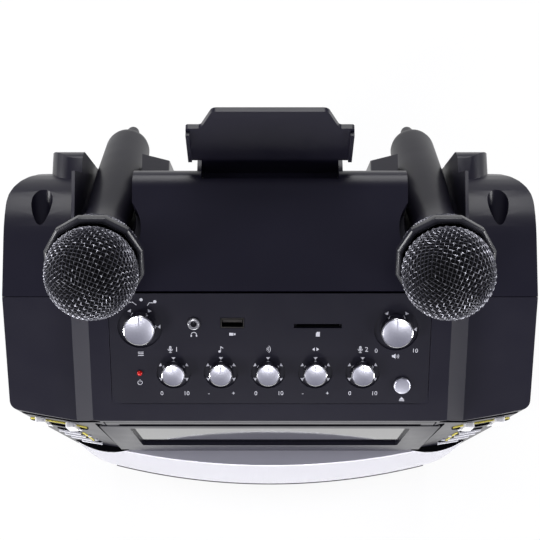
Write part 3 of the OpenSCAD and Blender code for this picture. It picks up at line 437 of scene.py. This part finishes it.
# z out of the front
def facing(x, y, z):
    return Matrix.Translation(at(x, y, z)) @ Matrix.Rotation(math.radians(90), 4, "X")


# Knobs: a satin dished top in a bright rim, on a skirt with notches
knobStyle = {"level": (6.4, 5), "dial": (8.7, 6),  # radius of the cap and height
             "dish": 0.25, "rim": 0.75, "line": (0.5, 1.5, 0.8), "steps": 72,
             "notches": 6, "notchRadius": 0.62, "notchLong": 2.6, "notchOut": 0.12}
knobPlaces = {"knob_%d" % (i + 3): (-1.1 + 27.5 * i, 30.9) for i in range(-2, 3)}
dialPlaces = {"function_dial": (-74.9, 59.1), "volume_dial": (72.8, 57.5)}


def knob(node, cap, height, x, s):
    skirt, dish, rim = cap + 1, knobStyle["dish"], knobStyle["rim"]
    piece = turned(node + "Cap", [
        (3.3, -0.38), (skirt, -0.38), (skirt, 0.85), (skirt - 0.2, 1.25), (cap + 0.42, height - 1.0),
        (cap + 0.36, height - 0.5), (cap + 0.12, height - 0.12), (cap - 0.15, height), (cap - 0.4, height - 0.06),
        (cap - rim, height - dish), (0, height - dish - 0.1)], knobStyle["steps"])
    cutters = []
    out = (skirt + knobStyle["notchOut"]) * mm
    for i in range(knobStyle["notches"]):
        turn = math.radians(360 / knobStyle["notches"] * (i + 0.5))
        deselect()
        bpy.ops.mesh.primitive_cylinder_add(
            vertices=16, radius=knobStyle["notchRadius"] * mm, depth=knobStyle["notchLong"] * mm,
            location=(out * math.sin(turn), out * math.cos(turn), 0.4 * mm))
        cutters.append(bpy.context.object)
    deselect()
    bpy.ops.mesh.primitive_cube_add(size=mm, location=(0, (cap - rim) * mm, height * mm), scale=knobStyle["line"])
    cutters.append(bpy.context.object)
    carved(piece, cutters)
    finish(piece, knobChrome)
    piece.data.materials.append(knobSatin)
    for face in piece.data.polygons:
        if face.center.z > (height - 0.5) * mm and face.center.xy.length < (cap - 0.45) * mm:
            face.material_index = 1
    smooth(piece, 28)
    place(piece, onPanel(x, s))
    return mounted(piece, None, "knob_silver", node, node)


for kind, places in (("level", knobPlaces), ("dial", dialPlaces)):
    for node, (x, s) in places.items():
        knob(node, *knobStyle[kind], x, s)
button = softened("open_button", 0.0003)
mounted(button, knobSatin, "knob_silver", "open_button")
print("knobs turned")



# Outlines for the marks on the panel
def disc(r, x=0, y=0, n=24):
    return [(x + r * math.cos(2 * math.pi * i / n), y + r * math.sin(2 * math.pi * i / n)) for i in range(n)]


def rect(x0, y0, x1, y1):
    return [(x0, y0), (x1, y0), (x1, y1), (x0, y1)]


def arc(r0, r1, start, end, x=0, y=0, n=14):
    turns = [math.radians(start + (end - start) * i / n) for i in range(n + 1)]
    return ([(x + r1 * math.cos(a), y + r1 * math.sin(a)) for a in turns]
            + [(x + r0 * math.cos(a), y + r0 * math.sin(a)) for a in reversed(turns)])


signs = {
    "pointer": [[(-1.3, 1.7), (1.3, 1.7), (0, 0)]],
    "mic": [arc(0, 0.75, 0, 180, 0, 1.2) + arc(0, 0.75, 180, 360, 0, 0)[:15], rect(-0.75, 0, 0.75, 1.2),
            arc(1.15, 1.45, 180, 360, 0, 0.2), rect(-0.15, -2.0, 0.15, -1.1), rect(-0.8, -2.2, 0.8, -1.9)],
    "note": [disc(0.75, -0.6, -1.4, 16), rect(-0.1, -1.4, 0.2, 1.8),
             [(0.2, 1.8), (1.5, 0.9), (1.5, 0.4), (0.2, 1.2)]],
    "waves": [arc(0.8, 1.1, -50, 50, -1.4), arc(1.7, 2.0, -50, 50, -1.4), arc(2.6, 2.9, -50, 50, -1.4)],
    "sides": [[(-0.5, -1.1), (-0.5, 1.1), (-2.0, 0)], [(0.5, 1.1), (0.5, -1.1), (2.0, 0)]],
    "speaker": [[(-2.2, -0.7), (-1.2, -0.7), (0, -1.7), (0, 1.7), (-1.2, 0.7), (-2.2, 0.7)],
                arc(0.9, 1.25, -45, 45), arc(1.8, 2.15, -45, 45)],
    "bars": [rect(-1.7, 0.9, 1.7, 1.3), rect(-1.7, -0.2, 1.7, 0.2), rect(-1.7, -1.3, 1.7, -0.9)],
    "phones": [arc(1.5, 1.85, 0, 180), rect(-2.0, -1.2, -1.2, 0), rect(1.2, -1.2, 2.0, 0)],
    "plug": [rect(-1.9, -0.9, 0.6, 0.9), rect(0.9, -0.6, 1.9, 0.6)],
    "card": [[(-1.2, -1.5), (1.2, -1.5), (1.2, 1.5), (-0.5, 1.5), (-1.2, 0.8)]],
    "eject": [[(-1.6, -0.3), (1.6, -0.3), (0, 1.5)], rect(-1.6, -1.2, 1.6, -0.7)],
    "power": [arc(1.2, 1.55, 125, 415), rect(-0.18, 0.3, 0.18, 1.9)],
    "leftTick": [[(-5.6, 15.45), (-3.4, 15.45), (-1.4, 13.6), (-1.7, 13.35), (-3.5, 15.1), (-5.6, 15.1)]],
    "rightTick": [[(8.4, 15.1), (5.8, 15.1), (4.6, 13.4), (4.9, 13.2), (6.0, 14.75), (8.4, 14.75)]],
}
fx, fs = dialPlaces["function_dial"]
markStyle = {
    "knobRing": 7.75, "dialRing": 10.1, "sunk": -0.78,  # pointers stand in the dark rings round the knobs
    "figure": 3.6, "figureOut": 7.2, "figureDown": 13.2, "signUp": 14.6, "number": 4.2, "numberUp": 14.4,
    "knobSigns": {"knob_1": "mic", "knob_2": "note", "knob_3": "waves", "knob_4": "sides", "knob_5": "mic"},
    "signSize": 0.95,
    "signs": (("bars", fx, fs - 16.4), ("speaker", 72.8, 41.2), ("phones", -43.9, 54.4), ("plug", -21.7, 54.8),
              ("card", 27.6, 54.8), ("eject", 77.2, 14.0), ("power", -75.9, 24.6)),
    "volume": (("0", 61.5), ("10", 84)), "volumeUp": 44.5,
}
marks = []



def mark(outlines, x, s, spin=0, size=1.0, height=0.02):
    for outline in outlines:
        piece = drawnOut("mark", [(u * size, v * size) for u, v in outline], 0, 0.06)
        marks.append(place(piece, onPanel(x, s, height, spin)))


def figure(text, x, s, size):
    deselect()
    bpy.ops.object.text_add()
    piece = bpy.context.object
    piece.data.body = text
    piece.data.size = size * mm
    piece.data.align_x = "CENTER"
    piece.data.align_y = "CENTER"
    piece.data.extrude = 0.03 * mm
    piece.data.resolution_u = 4
    bpy.ops.object.convert(target="MESH")
    marks.append(place(piece, onPanel(x, s, 0.03)))


for node, (x, s) in knobPlaces.items():
    for spin in (-120, -60, 0, 60, 120):
        turn = math.radians(spin)
        mark(signs["pointer"], x - markStyle["knobRing"] * math.sin(turn),
             s + markStyle["knobRing"] * math.cos(turn), spin, 0.92, markStyle["sunk"])
    plain = node != "knob_2" and node != "knob_4"
    figure("0" if plain else "-", x - markStyle["figureOut"], s - markStyle["figureDown"], markStyle["figure"])
    figure("10" if plain else "+", x + markStyle["figureOut"], s - markStyle["figureDown"], markStyle["figure"])
for node, sign in markStyle["knobSigns"].items():
    mark(signs[sign], knobPlaces[node][0] - (1.6 if sign == "mic" else 0), knobPlaces[node][1] + markStyle["signUp"])
for text, node in (("1", "knob_1"), ("2", "knob_5")):
    figure(text, knobPlaces[node][0] + 2, knobPlaces[node][1] + markStyle["numberUp"], markStyle["number"])
for spin in (-90, -30, 30):
    turn = math.radians(spin)
    for node, (x, s) in dialPlaces.items():
        mark(signs["pointer"], x - markStyle["dialRing"] * math.sin(turn),
             s + markStyle["dialRing"] * math.cos(turn), spin, 1.0, markStyle["sunk"])
for i, x in ((-1, fx - 6.4), (0, fx + 1.3), (1, fx + 9.1)):
    mark([disc(0.95, 0, 0, 20)], x, fs + 15.6 + (1.2 if i == 0 else 0))
mark(signs["leftTick"], fx, fs)
mark(signs["rightTick"], fx, fs)
for sign, x, s in markStyle["signs"]:
    mark(signs[sign], x, s, 0, markStyle["signSize"])
for text, x in markStyle["volume"]:
    figure(text, x, markStyle["volumeUp"], markStyle["figure"])
panelMarks = joined("panelMarks", marks)
mounted(panelMarks, markWhite, "key_white", "cabinet")
print("panel marked")

# The shell fills the fascia's rounded corners
cornerStyle = {"reach": 8.6, "radius": 8.3, "half": 92.8, "low": 10.9, "deep": -2.2, "top": -0.01}
corner = [(0, 0)]
for angle in range(90, -1, -9):
    turn = math.radians(angle)
    corner.append((cornerStyle["reach"] - cornerStyle["radius"] * math.cos(turn),
                   cornerStyle["reach"] - cornerStyle["radius"] * math.sin(turn)))
fillers = []
for side in (-1, 1):
    outline = [(side * (cornerStyle["half"] - x), cornerStyle["low"] + y) for x, y in corner]
    filler = drawnOut("filler", outline if side < 0 else outline[::-1], cornerStyle["deep"], cornerStyle["top"])
    fillers.append(place(filler, onPanel(0, 0)))
mounted(joined("fasciaCorners", fillers), shellBlack, "shell_black", "cabinet")

# Bright collar of the headphone socket
collarStyle = {"x": -43.9, "s": 61.2, "deep": -2.5,
               "profile": [(1.85, 0.2), (2.25, 0.75), (2.6, 1.02), (3.0, 1.08), (3.4, 0.92), (3.62, 0.5)]}
collarEdge = [(1.85, collarStyle["deep"]), *collarStyle["profile"], (3.62, collarStyle["deep"])]
collar = turned("headphoneCollar", collarEdge, 48, True)
smooth(collar, 50)
place(collar, onPanel(collarStyle["x"], collarStyle["s"]))
mounted(collar, brightSteel, "bright_metal", "cabinet")


# Microphones: woven ball over foam, twelve-sided ring, woven strip and a swelling grip
micStyle = {"ball": 25.05, "centre": -14, "cells": 16, "wire": 0.62, "weave": 0.34, "weaveTurn": (24, 38),
            "foamIn": 0.9, "ringSides": 12, "ringBevel": 0.28, "strip": (25.9, 25.0, 4.3, 8.6), "stripWires": 96,
            "stripWire": 0.42, "stripWeave": 0.007, "length": 208, "grip": 14.7, "neck": 12.6, "nub": 4.4}
ringProfile = [(24.6, -2.4), (25.9, -3.0), (26.9, -2.95), (28.15, -1.7), (28.15, 2.2), (27.2, 3.5), (26.4, 4.1),
               (24.6, 4.1)]



def wovenBall(name):
    deselect()
    bpy.ops.mesh.primitive_cube_add(size=2)
    piece = named(name)
    n = micStyle["cells"]
    bpy.ops.object.mode_set(mode="EDIT")
    bpy.ops.mesh.select_all(action="SELECT")
    bpy.ops.mesh.subdivide(number_cuts=n - 1)
    bpy.ops.object.mode_set(mode="OBJECT")
    turn, lean = micStyle["weaveTurn"]
    tilt = Matrix.Rotation(math.radians(turn), 3, "Z") @ Matrix.Rotation(math.radians(lean), 3, "X")
    for point in piece.data.vertices:
        over = 1 if sum(round((c + 1) * n / 2) for c in point.co) % 2 == 0 else -1
        way = Vector([math.tan(math.radians(45) * c) for c in point.co]).normalized()
        point.co = tilt @ way * (micStyle["ball"] + over * micStyle["weave"]) * mm
        point.co.z += micStyle["centre"] * mm
    return cutAt(piece, 1.5)


def cutAt(piece, height):
    pick(piece)
    bpy.ops.object.mode_set(mode="EDIT")
    bpy.ops.mesh.select_all(action="SELECT")
    bpy.ops.mesh.bisect(plane_co=(0, 0, height * mm), plane_no=(0, 0, 1), clear_outer=True)
    bpy.ops.object.mode_set(mode="OBJECT")
    return piece


# A woven band between two radii, as a strip of crossing wires
def wovenBand(name, around, rows, r0, r1, z0, z1):
    piece = turned(name, [(r0 + (r1 - r0) * i / rows, z0 + (z1 - z0) * i / rows) for i in range(rows + 1)], around)
    for point in piece.data.vertices:
        row = round((point.co.z / mm - z0) / (z1 - z0) * rows)
        step = round(math.atan2(point.co.y, point.co.x) / (2 * math.pi) * around)
        grow = 1 + micStyle["stripWeave"] * (1 if (row + step) % 2 == 0 else -1)
        point.co.x *= grow
        point.co.y *= grow
    return piece


def gripProfile():
    length, grip, neck = micStyle["length"], micStyle["grip"], micStyle["neck"]
    nub = micStyle["nub"]
    line = [(24.3, 3.0), (24.5, 8.2), (24.4, 9.6), (23.4, 12), (21.4, 15.5), (19.0, 20), (17.0, 25), (15.4, 31),
            (14.2, 38), (13.4, 45)]
    for i in range(1, 11):  # swells from the neck to the grip
        t = i / 10
        line.append((neck + 0.6 + (grip - neck - 0.6) * t * t * (3 - 2 * t), 46 + (length - 136) * t))
    line += [(grip, length - 60), (grip, length - 40), (grip - 0.15, length - 37), (grip - 0.8, length - 34)]
    line += [(grip - 0.8 - 8.0 * i / 7, length - 34 + 17.5 * i / 7) for i in range(1, 8)]  # conical shoulder
    return line + [(5.2, length - 15), (4.6, length - 13), (nub, length - 3), (4.0, length - 1.2),
                   (3.2, length - 0.3), (0, length)]


for label, side in (("left", -1), ("right", 1)):
    body = label + "_microphone"
    ball = wovenBall(label + "MicMesh")
    modifier(ball, "WIREFRAME", thickness=micStyle["wire"] * mm, use_even_offset=False, use_boundary=True)
    smooth(ball, 60)
    place(ball, onMic(side))
    mounted(ball, meshWire, "mic_mesh", body, label + "_mic_head")
    deselect()
    bpy.ops.mesh.primitive_uv_sphere_add(
        segments=48, ring_count=24, radius=(micStyle["ball"] - micStyle["foamIn"]) * mm,
        location=(0, 0, micStyle["centre"] * mm))
    foam = cutAt(applyPlace(named(label + "MicFoam")), 2)
    place(smooth(foam, 60), onMic(side))
    mounted(foam, foamBlack, "mic_black", body)
    ring = turned(label + "MicRing", ringProfile, micStyle["ringSides"], True)
    ring.matrix_world = Matrix.Rotation(math.radians(180 / micStyle["ringSides"]), 4, "Z")
    applyPlace(ring)
    modifier(ring, "BEVEL", width=micStyle["ringBevel"] * mm, segments=2, limit_method="ANGLE",
             angle_limit=math.radians(20))
    smooth(ring, 20)
    place(ring, onMic(side))
    mounted(ring, ringBlack, "mic_black", body, label + "_mic_ring")
    band = wovenBand(label + "MicStrip", micStyle["stripWires"], 3, *micStyle["strip"])
    modifier(band, "WIREFRAME", thickness=micStyle["stripWire"] * mm, use_even_offset=False, use_boundary=True)
    place(smooth(band, 60), onMic(side))
    mounted(band, meshWire, "mic_mesh", body)
    grip = smooth(turned(label + "MicGrip", gripProfile(), 72), 40)
    place(grip, onMic(side))
    mounted(grip, micBlack, "mic_black", body, label + "_mic_grip")
print("microphones made")

# Grille: a black sill below the bowed sheet, and glossless black brows over its upper corners that are painted shade
# for the dark crescents there
grilleShape = {"radius": 519.8, "bulge": 13.6, "low": 20.4, "top": 150.2}
sillStyle = {"half": 124, "step": 8, "inside": 2.4, "back": 14, "thick": 1.7}
browStyle = {"from": 98, "long": 43, "steps": 14, "lead": 1.2, "sweep": 9.0, "power": 1.25, "deep": 5.2,
             "round": 0.8, "thick": 1.6}


def bow(x, ahead):
    return grilleShape["radius"] - grilleShape["bulge"] - ahead - math.sqrt(grilleShape["radius"] ** 2 - x * x)


grille = softened("speaker_grille", 0.0005)
mounted(grille, grilleSilver, "grille_silver", "cabinet")
end = sillStyle["half"]
outline = [(x, bow(x, -sillStyle["inside"])) for x in range(-end, end + 1, sillStyle["step"])]
outline += [(end - 2, sillStyle["back"]), (2 - end, sillStyle["back"])]
sill = drawnOut("grilleSill", outline, grilleShape["low"], grilleShape["low"] + sillStyle["thick"])
place(sill, Matrix.Translation(at(0, 0, 0)))
mounted(smooth(sill, 30), shellBlack, "shell_black", "cabinet")
brows = []
for side in (-1, 1):
    faceLine, edge = [], []
    for i in range(browStyle["steps"] + 1):
        x = browStyle["from"] + browStyle["long"] * i / browStyle["steps"]
        swept = ((x - browStyle["from"]) / browStyle["long"]) ** browStyle["power"]
        y = browStyle["lead"] + browStyle["sweep"] * swept
        faceLine.append((side * x, y))
        if 0 < i < browStyle["steps"]:
            swell = math.sin(math.pi * (x - browStyle["from"]) / browStyle["long"]) ** browStyle["round"]
            edge.append((side * x, y - browStyle["deep"] * swell))
    outline = edge + faceLine[::-1]
    brow = drawnOut("brow", outline if side > 0 else outline[::-1], grilleShape["top"],
                    grilleShape["top"] + browStyle["thick"])
    brows.append(place(brow, Matrix.Translation(at(0, 0, 0))))
# The brows paint shade: flat black with no gloss over the grille's upper corners
mounted(joined("grilleShadeBrows", brows), shadeAndJackBlack, "inner_black", "cabinet")
print("grille trimmed")

# Front face of the shell, flat in the middle and swept back to both sides
faceShape = {"sweep": 8.7, "foldZ": 284, "widens": 0.0875, "flatHalf": 100, "wing": 55.5, "power": 1.2}


def faceY(x, z):
    out = (abs(x) + (faceShape["foldZ"] - z) * faceShape["widens"] - faceShape["flatHalf"]) / faceShape["wing"]
    return faceShape["sweep"] * max(0, out) ** faceShape["power"]


def softRect(x0, y0, x1, y1, r, n=6):
    spots = []
    for cx, cy, start in ((x1 - r, y1 - r, 0), (x0 + r, y1 - r, 90), (x0 + r, y0 + r, 180), (x1 - r, y0 + r, 270)):
        turns = [math.radians(start + 90 * i / n) for i in range(n + 1)]
        spots += [(cx + r * math.cos(a), cy + r * math.sin(a)) for a in turns]
    return spots


# An outline in x and z, drawn from one depth to another
def upright(name, outline, front, back):
    return place(drawnOut(name, outline, -back, -front), facing(0, 0, 0))


# Door front: a plate with a shallow window over a glossy pane; its lower corners are cut back to swing clear
doorStyle = {"half": 103.4, "wideFrom": 161, "innerHalf": 97.5, "low": 156.6, "top": 271, "front": -0.5,
             "recess": 2.0, "windowHalf": 86, "windowLow": 183, "windowTop": 262, "paneIn": 14, "paneOver": 3,
             "play": 0.2, "gap": 1.7}
half, inner, low, top = [doorStyle[key] for key in ("half", "innerHalf", "low", "top")]


def window(front, back):
    return upright("window", softRect(-doorStyle["windowHalf"], doorStyle["windowLow"], doorStyle["windowHalf"],
                                      doorStyle["windowTop"], 1.5), front, back)


wideFrom, paneDepth, over = doorStyle["wideFrom"], doorStyle["front"] + doorStyle["recess"], doorStyle["paneOver"]
leafEdge = [(-half, wideFrom), (-inner, wideFrom), (-inner, low), (inner, low), (inner, wideFrom), (half, wideFrom)]
leaf = upright("doorLeaf", leafEdge + [(half, top), (-half, top)], doorStyle["front"], -0.05)
modifier(leaf, "BEVEL", width=0.2 * mm, segments=2, limit_method="ANGLE", angle_limit=math.radians(30))
carved(leaf, [window(-3, 3)])
lining = upright("doorLining", softRect(-inner, low, inner, top - 1, 2), -0.1, paneDepth)
carved(lining, [window(-3, 6)])
mounted(smooth(joined("doorPlate", [leaf, lining]), 30), shellBlack, "shell_black", "door")
paneHalf = half - doorStyle["paneIn"]
paneEdge = softRect(-paneHalf, doorStyle["windowLow"] - over, paneHalf, doorStyle["windowTop"] + over, 1)
pane = upright("screenPane", paneEdge, paneDepth, paneDepth + 1)
mounted(pane, screenGlass, "screen_glass", "door")


# A ribbon laid on the front face: each spot is (x, z), widened by (across, up)
def ribbon(spots, across, up, proud):
    deselect()
    bpy.ops.mesh.primitive_grid_add(x_subdivisions=len(spots) - 1, y_subdivisions=1, size=2)
    piece = bpy.context.object
    for point in piece.data.vertices:
        x, z = spots[round((point.co.x + 1) / 2 * (len(spots) - 1))]
        way = 0.5 if point.co.y > 0 else -0.5
        point.co = at(x + way * across, faceY(x, z + way * up) - proud, z + way * up)
    return modifier(piece, "SOLIDIFY", thickness=(proud + 0.25) * mm, offset=-1)


def mirrored(spots, side):
    return sorted((side * x, z) for x, z in spots)

# Keys of each side: two white ones in an oval, four bars with painted shadow lines by them, and a bent yellow line
keyTrim = {"a": 142, "b": 123, "wide": 6.2, "low": 242, "top": 260, "middle": 251, "proud": 3.0,
           "ovalX": 132, "ovalHalf": 18, "ovalZ": 247.5, "ovalRise": 8,
           "lowerOval": ((178, 226), (252, 291), (318, 362)), "upperOval": (0, 180)}  # open where the keys stand
barTrim = {"bars": ((131, 212), (130, 197), (128, 182), (123, 167)), "half": 7, "up": 5.2, "high": 5.6,
           "lineX": 122.4, "lineZ": 214, "lineStep": 8.4, "lineHalf": 0.6,
           "dots": ((119.6, 201), (117.6, 183)), "dot": 1.3}
shadeLineStyle = {"proud": 0.35, "foldZ": 273, "raisedZ": 285.4, "doorMiddle": 211.5, "doorHigh": 119}


def oval(start, end, n=16):
    turns = [math.radians(start + (end - start) * i / n) for i in range(n + 1)]
    return [(keyTrim["ovalX"] + keyTrim["ovalHalf"] * math.cos(a),
             keyTrim["ovalZ"] + keyTrim["ovalRise"] * math.sin(a)) for a in turns]


foldZ, raisedZ, proud = shadeLineStyle["foldZ"], shadeLineStyle["raisedZ"], shadeLineStyle["proud"]
fold = [(-150 + 5 * i, foldZ) for i in range(7)] + [(-117, foldZ), (-105, raisedZ), (105, raisedZ), (117, foldZ)]
fold += [(120 + 5 * i, foldZ) for i in range(7)]
gap, opening = doorStyle["gap"], half + doorStyle["play"]
# Black ribbons that paint shade: in the door's gaps, in the groove under the panel's front edge, along the oval's
# lower ledge and by the bars
dark = [ribbon(fold, 0, 5, proud), ribbon([(-opening - gap, top + 2), (opening + gap, top + 2)], 0, 4, proud)]
yellow, white = [], []
for side in (-1, 1):
    post = side * (opening + gap / 2)
    middle = shadeLineStyle["doorMiddle"]
    dark.append(ribbon([(post - gap / 2, middle), (post + gap / 2, middle)], 0, shadeLineStyle["doorHigh"], proud))
    for start, end in keyTrim["lowerOval"]:
        dark.append(ribbon(mirrored(oval(start, end), side), 0, 4, 0.9))
    yellow.append(ribbon(mirrored(oval(*keyTrim["upperOval"]), side), 0, 2.5, 0.7))
    for x, z in barTrim["bars"]:
        x0, x1, slotZ = x - barTrim["half"], x + barTrim["half"], z + barTrim["up"]
        dark.append(ribbon(mirrored([(x0, slotZ), (x1, slotZ)], side), 0, barTrim["high"], 0.4))
    line = [(barTrim["lineX"] - 0.7 * i + 0.09 * i * i, barTrim["lineZ"] - barTrim["lineStep"] * i) for i in range(6)]
    wide = barTrim["lineHalf"]
    for (xa, za), (xb, zb) in zip(line, line[1:]):
        lineZ = (za + zb) / 2
        yellow.append(ribbon(mirrored([(xb - wide, lineZ), (xa + wide, lineZ)], side), 0, 8.6, 0.4))
    for x, z in barTrim["dots"]:
        white.append(place(drawnOut("dot", disc(barTrim["dot"]), 0, 0.9), facing(side * x, faceY(x, z), z)))
# Painted shade lines in flat black with no gloss
mounted(joined("frontShadeLines", dark), shadeAndJackBlack, "inner_black", "cabinet")
mounted(joined("keyOutlines", yellow), markYellow, "key_white", "cabinet")
mounted(joined("keyDots", white), markWhite, "key_white", "cabinet")
for label, side in (("left", -1), ("right", 1)):
    for key in ("a", "b"):
        node = label + "_key_" + key
        x, wide = keyTrim[key], keyTrim["wide"] / 2
        y = faceY(x, keyTrim["middle"])
        cap = upright(node + "Cap", softRect(side * x - wide, keyTrim["low"], side * x + wide, keyTrim["top"], 1.5),
                      y - keyTrim["proud"], y + 1)
        modifier(cap, "BEVEL", width=0.6 * mm, segments=3, limit_method="ANGLE", angle_limit=math.radians(40))
        mounted(smooth(cap, 40), keyWhite, "key_white", node)
print("front dressed")

# Pickup lens: a low dome in a rim
lensStyle = {"radius": 2.1, "rim": 2.6, "dome": 1.1, "base": 0.45, "place": (24, 22.25, 220)}
dome = [math.radians(angle) for angle in range(15, 91, 15)]
radius, base = lensStyle["radius"], lensStyle["base"]
lens = turned("pickupLens", [(lensStyle["rim"], 0), (lensStyle["rim"], 0.25), (radius, base)] + [
    (radius * math.cos(a), base + lensStyle["dome"] * math.sin(a)) for a in dome], 32)
place(smooth(lens, 50), facing(*lensStyle["place"]))
mounted(lens, lensBlue, "screen_glass", "pickup_sled")

# Coloured rings round the jacks at the back
jackStyle = {"spots": ((-26, ringRed), (-8, markWhite), (10, markYellow), (28, shadeAndJackBlack)), "y": 176.2, "z": 77,
             "profile": [(4.3, 0), (6.4, 0), (6.4, 1.1), (6.0, 1.5), (4.3, 1.5)]}
for i, (x, look) in enumerate(jackStyle["spots"]):
    jack = turned("jackRing%d" % (i + 1), jackStyle["profile"], 36, True)
    spot = Matrix.Translation(at(x, jackStyle["y"], jackStyle["z"]))
    place(smooth(jack, 30), spot @ Matrix.Rotation(math.radians(-90), 4, "X"))
    mounted(jack, look, "inner_black", "cabinet")
print("back dressed")

# Camera, in the photo's own place
camera = {"place": (0, zero - 0.104, 0.985), "tilt": 15.8, "lens": 78.67}
deselect()
bpy.ops.object.camera_add(location=camera["place"], rotation=(math.radians(camera["tilt"]), 0, 0))
eye = bpy.context.object
eye.data.lens = camera["lens"]
eye.data.sensor_width = 36
eye.data.clip_end = 50
bpy.context.scene.camera = eye

# Studio: a pale floor, a pale surround and six soft lamps, each with its place, size and power
studio = {
    "floorSize": 6.0,
    "floorTone": 0.94,
    "seenGlow": 0.86,
    "surround": (0.16, 0.16, 0.20),
    "aim": (0, 0, 0.25),
    "lamps": {
        "lampLeft": ((-1.3, 0.1, 0.75), 0.5, 9.0),
        "lampRight": ((1.3, 0.1, 0.75), 0.5, 7.0),
        "lampBack": ((0.0, 1.1, 1.1), 1.0, 13.0),
        "lampFront": ((0.0, -1.6, 0.42), 0.4, 9.0),
        "lampEdgeLeft": ((-1.15, -0.85, 0.58), 0.35, 13.0),
        "lampEdgeRight": ((1.15, -0.85, 0.58), 0.35, 8.0),
    },
}


def floorPaint():
    made = bpy.data.materials.new("floorPale")
    made.use_nodes = True
    tree = made.node_tree
    shader = tree.nodes["Principled BSDF"]
    shader.inputs["Base Color"].default_value = rgb(*[studio["floorTone"]] * 3)
    shader.inputs["Roughness"].default_value = 0.9
    path = tree.nodes.new("ShaderNodeLightPath")
    camera, glossy, through = [Wire(tree, path.outputs["Is " + kind + " Ray"])
                               for kind in ("Camera", "Glossy", "Transmission")]
    seen = camera * studio["seenGlow"] + glossy + through
    glow = camera.node("ShaderNodeEmission", None, {"Color": rgb(1, 1, 1), "Strength": 1.0})
    blend = camera.node("ShaderNodeMixShader", None, {0: seen.math("MINIMUM", seen, 1.0)})
    tree.links.new(shader.outputs[0], blend.socket.node.inputs[1])
    tree.links.new(glow.socket, blend.socket.node.inputs[2])
    tree.links.new(blend.socket, tree.nodes["Material Output"].inputs["Surface"])
    return made


deselect()
bpy.ops.mesh.primitive_plane_add(size=studio["floorSize"])
floor = finish(named("floor"), floorPaint())

world = bpy.data.worlds.new("surround")
bpy.context.scene.world = world
world.use_nodes = True
world.node_tree.nodes["Background"].inputs["Color"].default_value = rgb(*studio["surround"])
for name, (spot, size, power) in studio["lamps"].items():
    deselect()
    bpy.ops.object.light_add(type="AREA", location=spot)
    lamp = bpy.context.object
    lamp.name = name
    lamp.data.size = size
    lamp.data.energy = power
    lamp.rotation_mode = "QUATERNION"
    lamp.rotation_quaternion = (Vector(spot) - Vector(studio["aim"])).to_track_quat("Z", "Y")
bpy.context.scene.view_settings.view_transform = "Standard"
print("studio set")
